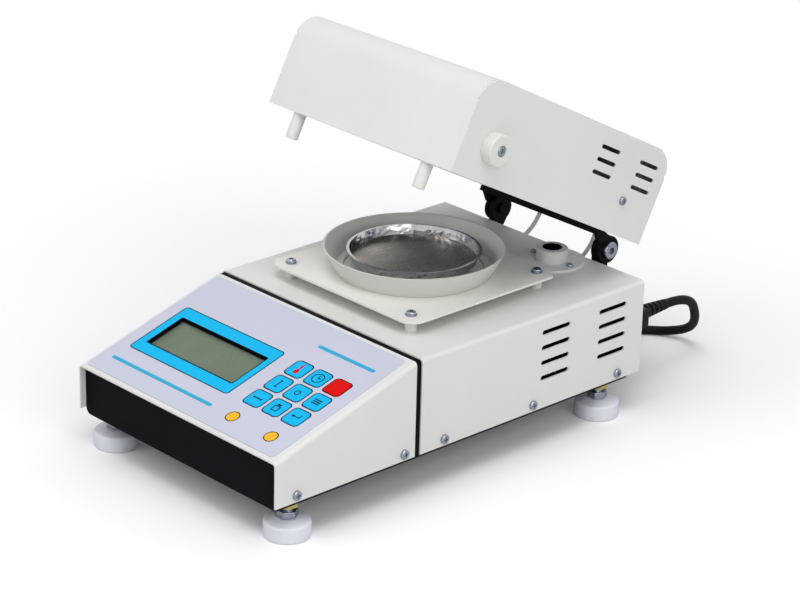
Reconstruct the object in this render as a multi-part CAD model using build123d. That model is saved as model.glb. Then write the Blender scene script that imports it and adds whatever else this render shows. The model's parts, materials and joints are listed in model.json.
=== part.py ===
from build123d import *
import os
from math import atan, cos, degrees, pi, radians, sin, sqrt, tan

# Moisture analyzer: a halogen drying lid over a precision balance, on a folded sheet-metal base.
# Shapes are worked out in a bench frame: x = 0 on the centre plane, y = 0 at the seam between the
# two covers, z = 0 at the lower edge of the covers. PLACE moves them to the part's own frame.
# The lid is stored open, resting on its stop.

# Covers and chassis
WIDTH = 210.0
SHEET = 1.2
COVER_HEIGHT = 71.0
CONSOLE_DEPTH = 128.0
CONSOLE_FRONT_HEIGHT = 33.3
BODY_DEPTH = 222.7
SEAM = 5.0
SEAM_INSET = 1.0
COVER_BEND = 3.0
TRAY_SHEET = 1.5
TRAY_DROP = 4.6
TRAY_WALL = 12.0
TRAY_BEND = 5.0
FRONT_RECESS = 4.5
REAR_RECESS = 11.5
SHOULDER = 4.0
FIT = 0.15

# Side vents of the body cover: two columns of four slots
VENT_LENGTH = 28.2
VENT_HEIGHT = 3.6
VENT_PITCH = 11.6
VENT_ROWS = 4
VENT_TOP = 58.2
VENT_FROM_REAR = (90.1, 32.2)

# Screws that hold the covers
SCREW_HEAD = 7.0
SCREW_HEAD_HEIGHT = 2.2
SCREW_SHANK = 4.0
SCREW_LENGTH = 6.0
BODY_SCREW_FRONT = 25.0
BODY_SCREW_REAR = 24.5
CONSOLE_SCREW_FRONT = 18.4
CONSOLE_SCREW_REAR = 12.6
COVER_SCREW_Z = 5.2

# Levelling feet
FOOT_SIDE_INSET = 13.3
FOOT_FRONT_INSET = 22.2
FOOT_REAR_INSET = 29.8
FOOT_DIAMETER = 32.6
FOOT_PAD_HEIGHT = 11.5
FOOT_CONE_HEIGHT = 2.5
FOOT_CONE_TOP = 17.0
FOOT_NUT_HEIGHT = 5.0
FOOT_NUT_FLATS = 13.0
FOOT_GAP = 2.4
LOCK_NUT_HEIGHT = 4.0
STUD = 8.0
STUD_INSIDE = 9.0
STUD_CLEARANCE = 0.05

# Keypad on the sloping console, measured from its front edge up the slope
OVERLAY = 0.8
OVERLAY_X = (-100.5, 98.0)
OVERLAY_B = (3.5, 127.5)
OVERLAY_CORNER = 3.0
KEY = 15.2
KEY_CORNER = 3.0
KEY_PITCH = 19.5
KEY_ROW_PITCH = 19.1
KEY_CENTRE_X = 59.5
KEY_CENTRE_B = 61.3
KEY_ROWS = 3
KEY_GAP = 0.25
KEY_PROUD = 0.3
KEY_TRAVEL = 0.4
KEY_LIP = 1.0
KEY_LIP_HEIGHT = 1.0
KEY_STEM = 5.0
KEY_STEM_LENGTH = 1.6
LIP_CLEARANCE = 0.05
SWITCH = 6.0
SWITCH_HEIGHT = 3.5
PLUNGER = 3.4
PLUNGER_HEIGHT = 1.2
PLUNGER_CLEARANCE = 0.1
BOARD = 1.6
BOARD_MARGIN = 7.0
SPACER = 4.0

# Display
WINDOW_X = (-81.5, 10.5)
WINDOW_B = (44.3, 77.5)
WINDOW_SHEET = 1.5
WINDOW_LAP = 4.0
LCD_THICKNESS = 3.0
LCD_BOARD_MARGIN = 10.0
WINDOW_CORNER = 1.0

# Weighing plate over the body
PLATE_SIZE = 151.0
PLATE_DEPTH = 146.0
PLATE_THICKNESS = 1.8
PLATE_LIFT = 9.3
PLATE_CHAMFER = 8.0
PAN_SHARE = 0.5917
PLATE_SCREW_X = 62.7
PLATE_SCREW_Y = 61.5
STANDOFF = 8.4
PLATE_WASHER = 8.4
PLATE_WASHER_HEIGHT = 0.9
PLATE_HOLE = 24.0

# Wind ring, dish and pan support
RING_BASE_R = 56.5
RING_RIM_R = 65.7
RING_HEIGHT = 17.3
RING_SHEET = 1.5
RING_FOOT = 6.0
DISH_RIM_R = 48.6
DISH_FLOOR_R = 45.2
DISH_DEPTH = 7.0
DISH_SHEET = 0.3
DISH_LIP = 1.8
DISH_FLOOR_LIFT = 8.0
PAN_R = 42.0
PAN_SHEET = 1.6
PAN_RIM = 2.5
PAN_SHAFT = 8.0
PAN_HUB = 16.0
PAN_ARMS = 4
PAN_GAP = 0.1
PAN_TRAVEL = 0.25
CELL_CLEARANCE = 0.3

# Load cell
CELL_LENGTH = 74.0
CELL_WIDTH = 26.0
CELL_HEIGHT = 22.0
CELL_BOTTOM = 14.0
CELL_END = 14.0
CELL_EYE = 11.0
CELL_MOUNT = 22.0

# Main board and transformer
MAIN_BOARD_INSET = 25.0
MAIN_BOARD_GAP = 6.0
MAIN_BOARD_DEPTH = 65.0
MAIN_CHIPS = (
    (0.24, 0.38, 20.0, 3.0),
    (0.65, 0.23, 12.0, 3.0),
    (0.73, 0.72, 16.0, 8.0),
    (0.22, 0.80, 14.0, 11.0),
)
INSIDE_GAP = 6.5
TRANSFORMER = 48.0
TRANSFORMER_X = 10.0
TRANSFORMER_Y = 15.0
TRANSFORMER_HEIGHT = 40.0
TRANSFORMER_FOOT = 2.0
TRANSFORMER_EAR = 8.0
COIL_OVERHANG = 10.0
COIL_CORNER = 4.0
CORE_YOKE = 7.0

# Spirit level
LEVEL_X = 35.0
LEVEL_FROM_REAR = 24.2
LEVEL_BOSS = 23.7
LEVEL_BORE = 14.4
LEVEL_HEIGHT = 11.0
LEVEL_FLANGE_R = 24.5
LEVEL_FLANGE = 1.8
LEVEL_SCREW_X = 18.2
LEVEL_SCREW = 3.0
LEVEL_SCREW_HEAD = 5.6
LEVEL_SPIGOT = 18.0
LEVEL_DEPTH = 8.0
VIAL_DEEP = 5.5
VIAL_CLEARANCE = 0.1

# Lid
LID_WIDTH = 185.6
LID_DEPTH = 217.5
LID_HEIGHT = 69.7
LID_CORNER = 17.5
LID_SHEET = 1.2
LID_OPEN = 27.6
LID_REAR_INSET = 1.5
LID_GAP = 18.8
CHEEK_CORNER = 19.0
CHEEK_RELIEF = 1.3
CHEEK_FOOT = 8.0
LID_VENT_LENGTH = 21.8
LID_VENT_HEIGHT = 3.0
LID_VENT_PITCH = 9.4
LID_VENT_ROWS = 3
LID_VENT_TOP = 55.4
LID_VENT_COLUMNS = (68.2, 22.0)
LID_SCREW_U = 36.3
LID_SCREW_H = 24.8
CHEEK_SCREW_HEAD = 6.4
CHEEK_SCREW_HEIGHT = 2.0
KNOB = 23.0
KNOB_LENGTH = 9.5
KNOB_U = 187.0
KNOB_H = 25.0
POST = 9.0
POST_CLEARANCE = 0.3
POST_X = 65.0
LID_HOLE_R = 72.0

# Heater in the lid
REFLECTOR_HEIGHT = 38.0
REFLECTOR_TOP_R = 48.0
REFLECTOR_SHEET = 1.0
REFLECTOR_FLANGE = 8.0
REFLECTOR_BULGE = 17.0
HEATER_R = 45.0
HEATER_TUBE = 8.0
HEATER_LIFT = 22.0
HOLDER_WIDTH = 12.0
HOLDER_CLEARANCE = 0.1
SENSOR = 5.0
SENSOR_LENGTH = 20.0

# Lid hinge
HINGE_BACK = 11.5
HINGE_DROP = 11.4
EAR_R = 10.5
EAR = 3.5
EAR_INNER_X = 51.5
EAR_WASHER = 1.0
EAR_SIDE_GAP = 0.05
BOLT = 8.0
BOLT_CLEARANCE = 0.05
BOLT_HEAD = 13.0
BOLT_HEAD_HEIGHT = 3.0
EAR_REACH = 3.3
EAR_COVER_GAP = 0.5
BRACKET_FLANGE = 18.0
BRACKET_BOTTOM = 28.0
WEB_DROP = 4.3
WEB_DEPTH = 11.0
STOP_PIN = 4.0
STOP_RADIUS = 13.0
STOP_ANGLE = 242.0
STOP_GAP = 0.3
HEEL_ANGLE = 16.0
HEEL_R = 14.6

# Mains inlet with its switch, and the lead's connector
INLET_SIDE_INSET = 27.5
INLET_Z = 29.0
CONNECTOR_WIDTH = 27.0
CONNECTOR_HEIGHT = 20.0
NOSE_WIDTH = 22.4
NOSE_HEIGHT = 15.6
NOSE_LENGTH = 17.0
NOSE_CLEARANCE = 0.3
CONNECTOR_LENGTH = 36.0
CONNECTOR_CORNER = 4.0
CONNECTOR_TAPER = 5.0
STRAIN_LENGTH = 30.0
STRAIN_RIBS = 5
STRAIN_GROOVE = 1.6
STRAIN_TAPER = 4.0
INLET_FLANGE = 2.0
INLET_DEPTH = 24.0
INLET_MARGIN = 4.0
ROCKER_R = 9.5
ROCKER_WIDTH = 12.0
ROCKER_DEEP = 4.0
ROCKER_TILT = 7.0
ROCKER_GAP = 0.3
ROCKER_RISE = 24.0
PIN_THICK = 2.0
PIN_TALL = 4.0
PIN_SPACING = 7.0
PIN_RISE = 2.0
NOSE_CHAMFER = 4.5

# Heater leads
LEAD = 3.2
LEAD_LID_X = (-14.0, 40.0)
LEAD_PANEL_X = (-30.5, 29.0)
LEAD_PANEL_Z = 56.0
LEAD_LID_H = 9.0
LEAD_CLEARANCE = 0.2
GROMMET = 9.0
GROMMET_OUT = 2.0

# Power cord
CORD = 7.0
COIL_R = 39.0
COIL_X = -42.0
COIL_BEHIND = 26.5
COIL_WIDTH = 3
COIL_LAYERS = 2
PLUG_LENGTH = 38.0
PLUG_WIDTH = 19.2
PLUG_HEIGHT = 20.0
PLUG_NECK_HEIGHT = 14.6
PLUG_CORNER = 5.0
PLUG_TAPER = 4.0
PLUG_PIN = 4.0
PLUG_PIN_LENGTH = 19.0
PLUG_PIN_SPACING = 18.6

# Derived places
HALF = WIDTH / 2
FOOT_X = HALF - FOOT_SIDE_INSET
FOOT_Y = (-CONSOLE_DEPTH + FOOT_FRONT_INSET, BODY_DEPTH - FOOT_REAR_INSET)
LAST_SCREW_Y = BODY_DEPTH - BODY_SCREW_REAR
BODY_SCREWS_Y = (BODY_SCREW_FRONT, (BODY_SCREW_FRONT + LAST_SCREW_Y) / 2, LAST_SCREW_Y)
CONSOLE_SCREWS_Y = (-CONSOLE_DEPTH + CONSOLE_SCREW_FRONT, -CONSOLE_SCREW_REAR)
VENT_COLUMNS = [BODY_DEPTH - y for y in VENT_FROM_REAR]
PAN_Y = BODY_DEPTH - LID_REAR_INSET - PAN_SHARE * LID_DEPTH
LEVEL_Y = BODY_DEPTH - LEVEL_FROM_REAR
INSIDE_Y = PAN_Y + CELL_WIDTH + INSIDE_GAP
INLET_X = HALF - INLET_SIDE_INSET
SLOPE = atan((COVER_HEIGHT - CONSOLE_FRONT_HEIGHT) / CONSOLE_DEPTH)
TRAY_HALF = HALF - SHEET - FIT
FOOT_HEIGHT = FOOT_PAD_HEIGHT + FOOT_CONE_HEIGHT + FOOT_NUT_HEIGHT
FLOOR_DROP = TRAY_DROP + LOCK_NUT_HEIGHT + FOOT_GAP + FOOT_HEIGHT
REAR_FACE = BODY_DEPTH - REAR_RECESS
PANEL_TOP = COVER_HEIGHT - SHEET - FIT
TRAY_FRONT = -CONSOLE_DEPTH + FRONT_RECESS + TRAY_SHEET
TRAY_REAR = REAR_FACE - TRAY_SHEET
TRAY_FLOOR = -TRAY_DROP + TRAY_SHEET
PIVOT_Y = BODY_DEPTH - LID_REAR_INSET + HINGE_BACK
PIVOT_Z = COVER_HEIGHT + LID_GAP - HINGE_DROP
PLATE_TOP = COVER_HEIGHT + PLATE_LIFT + PLATE_THICKNESS
DISH_FLOOR = PLATE_TOP + DISH_FLOOR_LIFT
OPEN = radians(LID_OPEN)
ARC_BACK = HINGE_BACK + LID_CORNER
ARC_UP = HINGE_DROP + LID_HEIGHT - LID_CORNER
LID_REAR = PIVOT_Y - ARC_BACK * cos(OPEN) + ARC_UP * sin(OPEN) + LID_CORNER
MIDDLE_Y = (LID_REAR - CONSOLE_DEPTH) / 2
PLACE = Location((0, -MIDDLE_Y, FLOOR_DROP))
CONSOLE_EDGE = (0, -CONSOLE_DEPTH, CONSOLE_FRONT_HEIGHT)
CONSOLE = Plane(origin=CONSOLE_EDGE, x_dir=(1, 0, 0), z_dir=(0, -sin(SLOPE), cos(SLOPE)))
LID = Pos(0, PIVOT_Y, PIVOT_Z) * Rot(-LID_OPEN, 0, 0) * Pos(0, -HINGE_BACK, HINGE_DROP)


def box(x, y, z):
    """A box from its low and high corner along each axis."""
    size = (x[1] - x[0], y[1] - y[0], z[1] - z[0])
    middle = ((x[0] + x[1]) / 2, (y[0] + y[1]) / 2, (z[0] + z[1]) / 2)
    return Pos(*middle) * Box(*size)


def rounded(x, y, z, radius):
    """A box whose four upright edges are rounded."""
    middle = ((x[0] + x[1]) / 2, (y[0] + y[1]) / 2, z[0])
    return Pos(*middle) * extrude(RectangleRounded(x[1] - x[0], y[1] - y[0], radius), z[1] - z[0])


def upright(radius, z, at=(0, 0)):
    """A cylinder that stands on z[0] and ends at z[1]."""
    return Pos(at[0], at[1], (z[0] + z[1]) / 2) * Cylinder(radius, z[1] - z[0])


def sideways(radius, x, at):
    """A cylinder along X from x[0] to x[1], centred at the given y and z."""
    return Pos((x[0] + x[1]) / 2, at[0], at[1]) * Rot(0, 90, 0) * Cylinder(radius, abs(x[1] - x[0]))


def rearward(radius, y, at):
    """A cylinder along Y from y[0] to y[1], centred at the given x and z."""
    return Pos(at[0], (y[0] + y[1]) / 2, at[1]) * Rot(90, 0, 0) * Cylinder(radius, abs(y[1] - y[0]))


def side_plate(points, x):
    """A plate across X whose outline is given as (y, z) points."""
    outline = Plane.YZ * make_face(Polyline(*points, close=True))
    return Pos(min(x), 0, 0) * extrude(outline, abs(x[1] - x[0]), dir=(1, 0, 0))


def slot_sideways(length, height, x, at):
    """A slot with round ends, cut along X, long along Y."""
    outline = Plane.YZ * SlotOverall(length, height)
    return Pos(min(x), at[0], at[1]) * extrude(outline, abs(x[1] - x[0]), dir=(1, 0, 0))


def hexagon(flats, z, at=(0, 0)):
    """A hexagonal bar that stands on z[0], by its width across flats."""
    outline = RegularPolygon(flats / 2, 6, major_radius=False, rotation=30)
    return Pos(at[0], at[1], z[0]) * extrude(outline, z[1] - z[0])


def pan_screw(head, height, shank, length, recess=True):
    """A pan-head screw on +Z: its head above z = 0, its shank below, a cross recess on top."""
    crown = fillet(Cylinder(head / 2, height).edges().sort_by(Axis.Z)[-1], height * 0.45)
    screw = Pos(0, 0, height / 2) * crown + Pos(0, 0, -length / 2) * Cylinder(shank / 2, length)
    if recess:
        bar = Box(head * 0.55, head * 0.13, height)
        screw -= Pos(0, 0, height) * (bar + Rot(0, 0, 90) * bar)
    return screw


def both_sides(shape):
    """A shape and its mirror image across the centre plane."""
    return [shape, mirror(shape, Plane.YZ)]


# Base covers and chassis

def console_block(inset, front=0.0, rear=0.0, bottom=0.0):
    """The wedge under the console's outer surface, shrunk by inset on its top and sides."""
    drop = inset / cos(SLOPE)
    y0, y1 = -CONSOLE_DEPTH - front, -SEAM / 2 + rear
    z0, z1 = (COVER_HEIGHT + y * tan(SLOPE) - drop for y in (y0, y1))
    block = side_plate(((y0, -bottom), (y0, z0), (y1, z1), (y1, -bottom)), (-HALF + inset, HALF - inset))
    edges = block.edges().filter_by(Axis((0, 0, 0), (0, cos(SLOPE), sin(SLOPE))))
    return fillet(edges, max(COVER_BEND - inset, 0.5))


def body_block(inset, front=0.0, rear=0.0, bottom=0.0):
    """The block under the body cover's outer surface, shrunk by inset on its top and sides."""
    y, z = (SEAM / 2 - front, BODY_DEPTH + rear), (-bottom, COVER_HEIGHT - inset)
    block = box((-HALF + inset, HALF - inset), y, z)
    return fillet(block.edges().filter_by(Axis.Y).group_by(Axis.Z)[-1], max(COVER_BEND - inset, 0.5))


def key_places():
    """Centres of the keys on the console, in rows from the top, each row from the left."""
    for row in range(KEY_ROWS):
        for column in range(KEY_ROWS):
            x = KEY_CENTRE_X + (column - (KEY_ROWS - 1) / 2) * KEY_PITCH
            b = KEY_CENTRE_B - (row - (KEY_ROWS - 1) / 2) * KEY_ROW_PITCH
            yield row, column, x, b


def console_openings(low, high):
    """The key and window openings through the console, between two heights over the sheet."""
    opening = KEY / 2 + KEY_GAP
    cuts = [
        rounded((x - opening, x + opening), (b - opening, b + opening), (low, high), KEY_CORNER + KEY_GAP)
        for _, _, x, b in key_places()
    ]
    return cuts + [rounded(WINDOW_X, WINDOW_B, (low, high), WINDOW_CORNER)]


def make_console_cover():
    """The folded sheet over the console: sloping top and two cheeks, open in front and behind."""
    margin = 10.0
    cover = console_block(0) - console_block(SHEET, margin, margin, margin)
    cover -= [CONSOLE * cut for cut in console_openings(-2 * SHEET, SHEET)]
    for y in CONSOLE_SCREWS_Y:
        cover -= sideways(SCREW_SHANK / 2 + FIT, (-HALF - 1, HALF + 1), (y, COVER_SCREW_Z))
    return cover


def vent_cuts():
    """The slots through both cheeks of the body cover."""
    reach = (-HALF - 1, HALF + 1)
    rows = range(VENT_ROWS)
    return [
        slot_sideways(VENT_LENGTH, VENT_HEIGHT, reach, (y, VENT_TOP - row * VENT_PITCH))
        for y in VENT_COLUMNS
        for row in rows
    ]


def make_body_cover():
    """The folded sheet over the body: flat top and two vented cheeks."""
    margin = 10.0
    cover = body_block(0) - body_block(SHEET, margin, margin, margin)
    cover -= vent_cuts()
    top = (COVER_HEIGHT - 2 * SHEET, COVER_HEIGHT + 1)
    cover -= upright(PAN_SHAFT / 2 + 3.0, top, (0, PAN_Y))
    cover -= upright(LEVEL_SPIGOT / 2 + FIT, top, (LEVEL_X, LEVEL_Y))
    for x in (-LEVEL_SCREW_X, LEVEL_SCREW_X):
        cover -= upright(LEVEL_SCREW / 2 + FIT, top, (LEVEL_X + x, LEVEL_Y))
    for y in BODY_SCREWS_Y:
        cover -= sideways(SCREW_SHANK / 2 + FIT, (-HALF - 1, HALF + 1), (y, COVER_SCREW_Z))
    return cover


def tray_section(inset, top):
    """The tray's outline across X and Z, shrunk by inset, from its floor up to top."""
    half, low = TRAY_HALF - inset, -TRAY_DROP + inset
    outline = Plane.XZ * Pos(0, (top + low) / 2) * Rectangle(2 * half, top - low)
    return fillet(outline.vertices().group_by(Axis.Z)[0], TRAY_BEND - inset)


def along_y(section, y):
    """An XZ outline extruded from y[0] to y[1]."""
    return Pos(0, y[0], 0) * extrude(section, y[1] - y[0], dir=(0, 1, 0))


def foot_places():
    """Name and place of each foot."""
    for y, end in zip(FOOT_Y, ("front", "rear")):
        for x, side in ((-FOOT_X, "left"), (FOOT_X, "right")):
            yield f"{end}_{side}", (x, y)


def make_chassis_tray():
    """The black tray: a floor with two folded walls, tapped for the cover screws and the feet."""
    tray = along_y(tray_section(0, TRAY_WALL), (TRAY_FRONT, TRAY_REAR))
    tray -= along_y(tray_section(TRAY_SHEET, TRAY_WALL + 1), (TRAY_FRONT - 1, TRAY_REAR + 1))
    for y in BODY_SCREWS_Y + CONSOLE_SCREWS_Y:
        tray -= sideways(SCREW_SHANK / 2 + FIT, (-HALF, HALF), (y, COVER_SCREW_Z))
    for _, at in foot_places():
        tray -= upright(STUD / 2 + 2 * FIT, (-TRAY_DROP - 1, TRAY_FLOOR + 1), at)
    return tray


def make_front_panel():
    """The recessed black panel under the console's front edge."""
    y = -CONSOLE_DEPTH + FRONT_RECESS
    top = CONSOLE_FRONT_HEIGHT + FRONT_RECESS * tan(SLOPE) - SHEET / cos(SLOPE) - FIT
    panel = along_y(tray_section(0, top), (y, y + TRAY_SHEET))
    return fillet(panel.edges().filter_by(Axis.Y).group_by(Axis.Z)[-1], COVER_BEND - SHEET)


def make_rear_panel():
    """The recessed black panel at the back, with openings for the inlet and the leads."""
    panel = along_y(tray_section(0, PANEL_TOP), (TRAY_REAR, REAR_FACE))
    panel = fillet(panel.edges().filter_by(Axis.Y).group_by(Axis.Z)[-1], COVER_BEND - SHEET)
    panel -= inlet_body(FIT)
    for x in LEAD_PANEL_X:
        panel -= rearward(GROMMET / 2 - 1.0, (TRAY_REAR - 1, REAR_FACE + 1), (x, LEAD_PANEL_Z))
    return panel


def make_divider_frame():
    """The black frame between the covers: a rim in the seam and a shoulder under each cover."""
    rim = body_block(SEAM_INSET, SEAM, 0, TRAY_DROP)
    rim &= box((-WIDTH, WIDTH), (-SEAM / 2, SEAM / 2), (TRAY_FLOOR, 2 * COVER_HEIGHT))
    front = console_block(SHEET + FIT, 0, 0, TRAY_DROP)
    front &= box((-WIDTH, WIDTH), (-SEAM / 2 - SHOULDER, -SEAM / 2), (TRAY_FLOOR, 2 * COVER_HEIGHT))
    rear = body_block(SHEET + FIT, 0, 0, TRAY_DROP)
    rear &= box((-WIDTH, WIDTH), (SEAM / 2, SEAM / 2 + SHOULDER), (TRAY_FLOOR, 2 * COVER_HEIGHT))
    y = (-SEAM / 2 - SHOULDER - 1, SEAM / 2 + SHOULDER + 1)
    frame = rim + front + rear
    lower = box((-WIDTH, WIDTH), y, (-2 * TRAY_DROP, TRAY_WALL + FIT))
    frame -= lower - along_y(tray_section(TRAY_SHEET, TRAY_WALL + FIT), y)
    wall = 9.0
    passage = RectangleRounded(WIDTH - 4 * wall, COVER_HEIGHT - 3 * wall, wall / 2)
    frame -= along_y(Plane.XZ * Pos(0, COVER_HEIGHT / 2 - wall / 2) * passage, y)
    return frame


def make_cover_screws():
    """The pan-head screws in both cheeks of both covers."""
    screws = []
    for y in BODY_SCREWS_Y + CONSOLE_SCREWS_Y:
        screw = pan_screw(SCREW_HEAD, SCREW_HEAD_HEIGHT, SCREW_SHANK, SCREW_LENGTH)
        screws += both_sides(Pos(HALF, y, COVER_SCREW_Z) * Rot(0, 90, 0) * screw)
    return screws


# Keypad and display

def make_overlay():
    """The membrane sheet on the console, open over each key and over the display."""
    sheet = rounded(OVERLAY_X, OVERLAY_B, (0, OVERLAY), OVERLAY_CORNER)
    return [CONSOLE * (sheet - console_openings(-1, OVERLAY + 1))]


def make_key(x, b):
    """A key cap with its retaining lip under the sheet and its stem."""
    half, lip = KEY / 2, KEY / 2 + KEY_LIP
    under = -SHEET - LIP_CLEARANCE
    cap = rounded((x - half, x + half), (b - half, b + half), (under, OVERLAY + KEY_PROUD), KEY_CORNER)
    cap = fillet(cap.edges().group_by(Axis.Z)[-1], KEY_PROUD * 0.8)
    cap += rounded((x - lip, x + lip), (b - lip, b + lip), (under - KEY_LIP_HEIGHT, under), KEY_CORNER)
    cap += upright(KEY_STEM / 2, (under - KEY_LIP_HEIGHT - KEY_STEM_LENGTH, under - KEY_LIP_HEIGHT), (x, b))
    return [CONSOLE * cap]


def make_keypad_board():
    """The board under the keys: nine push switches and four spacers up to the sheet."""
    stem = -SHEET - LIP_CLEARANCE - KEY_LIP_HEIGHT - KEY_STEM_LENGTH
    plunger = stem - KEY_TRAVEL - PLUNGER_CLEARANCE
    top = plunger - PLUNGER_HEIGHT - SWITCH_HEIGHT
    half_x = KEY_PITCH + KEY / 2 + BOARD_MARGIN
    half_b = KEY_ROW_PITCH + KEY / 2 + BOARD_MARGIN
    x = (KEY_CENTRE_X - half_x, KEY_CENTRE_X + half_x)
    b = (KEY_CENTRE_B - half_b, KEY_CENTRE_B + half_b)
    board = box(x, b, (top - BOARD, top))
    for _, _, kx, kb in key_places():
        half = SWITCH / 2
        board += box((kx - half, kx + half), (kb - half, kb + half), (top, top + SWITCH_HEIGHT))
        board += upright(PLUNGER / 2, (top + SWITCH_HEIGHT, plunger), (kx, kb))
    solids = [CONSOLE * board]
    for sx in (x[0] + SPACER / 2 + 1, x[1] - SPACER / 2 - 1):
        for sb in (b[0] + SPACER / 2 + 1, b[1] - SPACER / 2 - 1):
            solids.append(CONSOLE * upright(SPACER / 2, (top, -SHEET), (sx, sb)))
    return solids


def make_display_window():
    """The clear pane glued under the console sheet."""
    x = (WINDOW_X[0] - WINDOW_LAP, WINDOW_X[1] + WINDOW_LAP)
    b = (WINDOW_B[0] - WINDOW_LAP, WINDOW_B[1] + WINDOW_LAP)
    return [CONSOLE * rounded(x, b, (-SHEET - WINDOW_SHEET, -SHEET), WINDOW_CORNER)]


def make_display_module():
    """The display glass in its metal frame, on its board."""
    top = -SHEET - WINDOW_SHEET
    x = (WINDOW_X[0] - WINDOW_LAP, WINDOW_X[1] + WINDOW_LAP)
    b = (WINDOW_B[0] - WINDOW_LAP, WINDOW_B[1] + WINDOW_LAP)
    frame = box(x, b, (top - 2 * LCD_THICKNESS, top))
    glass = box(WINDOW_X, WINDOW_B, (top - LCD_THICKNESS, top))
    frame -= glass
    board_x = (x[0] - LCD_BOARD_MARGIN / 2, x[1] + LCD_BOARD_MARGIN / 2)
    board_b = (b[0] - LCD_BOARD_MARGIN, b[1] + LCD_BOARD_MARGIN)
    frame += box(board_x, board_b, (top - 2 * LCD_THICKNESS - BOARD, top - 2 * LCD_THICKNESS))
    return [CONSOLE * frame, CONSOLE * glass]


# Balance

def make_pan_plate():
    """The white plate that carries the wind ring, with cut corners."""
    size = Rectangle(PLATE_SIZE, PLATE_DEPTH)
    plate = extrude(chamfer(size.vertices(), PLATE_CHAMFER), PLATE_THICKNESS)
    plate = fillet(plate.edges().filter_by(Axis.Z), PLATE_CHAMFER / 2)
    plate = Pos(0, PAN_Y, PLATE_TOP - PLATE_THICKNESS) * plate
    through = (PLATE_TOP - 2 * PLATE_THICKNESS, PLATE_TOP + 1)
    plate -= upright(PLATE_HOLE / 2, through, (0, PAN_Y))
    for x, y in plate_screw_places():
        plate -= upright(SCREW_SHANK / 2 + FIT, through, (x, y))
    return plate


def plate_screw_places():
    """Centres of the four plate screws."""
    return [(x, PAN_Y + y) for x in (-PLATE_SCREW_X, PLATE_SCREW_X) for y in (-PLATE_SCREW_Y, PLATE_SCREW_Y)]


def make_plate_standoffs():
    """The four round spacers between the body cover and the plate."""
    z = (COVER_HEIGHT, COVER_HEIGHT + PLATE_LIFT)
    bore = SCREW_SHANK / 2 + FIT
    return [upright(STANDOFF / 2, z, at) - upright(bore, z, at) for at in plate_screw_places()]


def make_plate_screws():
    """The plate's screws, each with its washer."""
    solids = []
    for x, y in plate_screw_places():
        washer = upright(PLATE_WASHER / 2, (PLATE_TOP, PLATE_TOP + PLATE_WASHER_HEIGHT), (x, y))
        solids.append(washer - upright(SCREW_SHANK / 2, (PLATE_TOP - 1, PLATE_TOP + 2), (x, y)))
        screw = pan_screw(SCREW_HEAD, SCREW_HEAD_HEIGHT, SCREW_SHANK, PLATE_LIFT)
        solids.append(Pos(x, y, PLATE_TOP + PLATE_WASHER_HEIGHT) * screw)
    return solids


def make_wind_ring():
    """The flared ring round the dish, spun from sheet, with an inward foot."""
    t = RING_SHEET
    flare = (RING_RIM_R - RING_BASE_R) / RING_HEIGHT
    wall = t * sqrt(1 + flare * flare)
    outline = (
        (RING_BASE_R - RING_FOOT, 0),
        (RING_BASE_R, 0),
        (RING_RIM_R, RING_HEIGHT),
        (RING_RIM_R - wall, RING_HEIGHT),
        (RING_BASE_R - wall + flare * t, t),
        (RING_BASE_R - RING_FOOT, t),
    )
    ring = revolve(Plane.XZ * make_face(Polyline(*outline, close=True)), Axis.Z)
    return Pos(0, PAN_Y, PLATE_TOP) * ring


def make_pan_support():
    """The pan support: a shaft, a hub and a rimmed disc with four openings."""
    top = DISH_FLOOR - PAN_GAP
    disc = upright(PAN_R, (top - PAN_RIM, top))
    disc -= upright(PAN_R - PAN_SHEET, (top - PAN_RIM - 1, top - PAN_SHEET))
    hole = PAN_R * 0.3
    for turn in range(PAN_ARMS):
        window = upright(hole, (top - 2 * PAN_RIM, top + 1), (PAN_R * 0.56, 0))
        disc -= Rot(0, 0, 45 + turn * 360 / PAN_ARMS) * window
    foot = CELL_BOTTOM + CELL_HEIGHT + CELL_CLEARANCE
    hub = upright(PAN_HUB / 2, (top - 2 * PAN_RIM, top - PAN_SHEET))
    shaft = upright(PAN_SHAFT / 2, (foot, top - PAN_SHEET))
    base = upright(PAN_HUB / 2, (foot, foot + PAN_RIM))
    return Pos(0, PAN_Y, 0) * (disc + hub + shaft + base)


def make_foil_dish():
    """The foil sample dish: flat floor, flared wall and a rolled lip."""
    t = DISH_SHEET
    r0, r1, h = DISH_FLOOR_R, DISH_RIM_R - DISH_LIP, DISH_DEPTH
    outline = (
        (0, 0), (r0, 0), (r1, h - t), (DISH_RIM_R, h - t), (DISH_RIM_R, h), (r1 - t, h), (r0 - t, t), (0, t),
    )
    dish = revolve(Plane.XZ * make_face(Polyline(*outline, close=True)), Axis.Z)
    return Pos(0, PAN_Y, DISH_FLOOR) * dish


def make_load_cell():
    """The load cell: a bar with two joined round eyes that let its free end sink level."""
    x = (-CELL_LENGTH + CELL_END, CELL_END)
    bar = box(x, (PAN_Y - CELL_WIDTH / 2, PAN_Y + CELL_WIDTH / 2), (CELL_BOTTOM, CELL_BOTTOM + CELL_HEIGHT))
    middle, z = (x[0] + x[1]) / 2, CELL_BOTTOM + CELL_HEIGHT / 2
    y = (PAN_Y - CELL_WIDTH, PAN_Y + CELL_WIDTH)
    for eye in (middle - CELL_EYE, middle + CELL_EYE):
        bar -= rearward(CELL_HEIGHT * 0.36, y, (eye, z))
    bar -= box((middle - CELL_EYE, middle + CELL_EYE), y, (z - CELL_HEIGHT * 0.16, z + CELL_HEIGHT * 0.16))
    return bar


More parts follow.
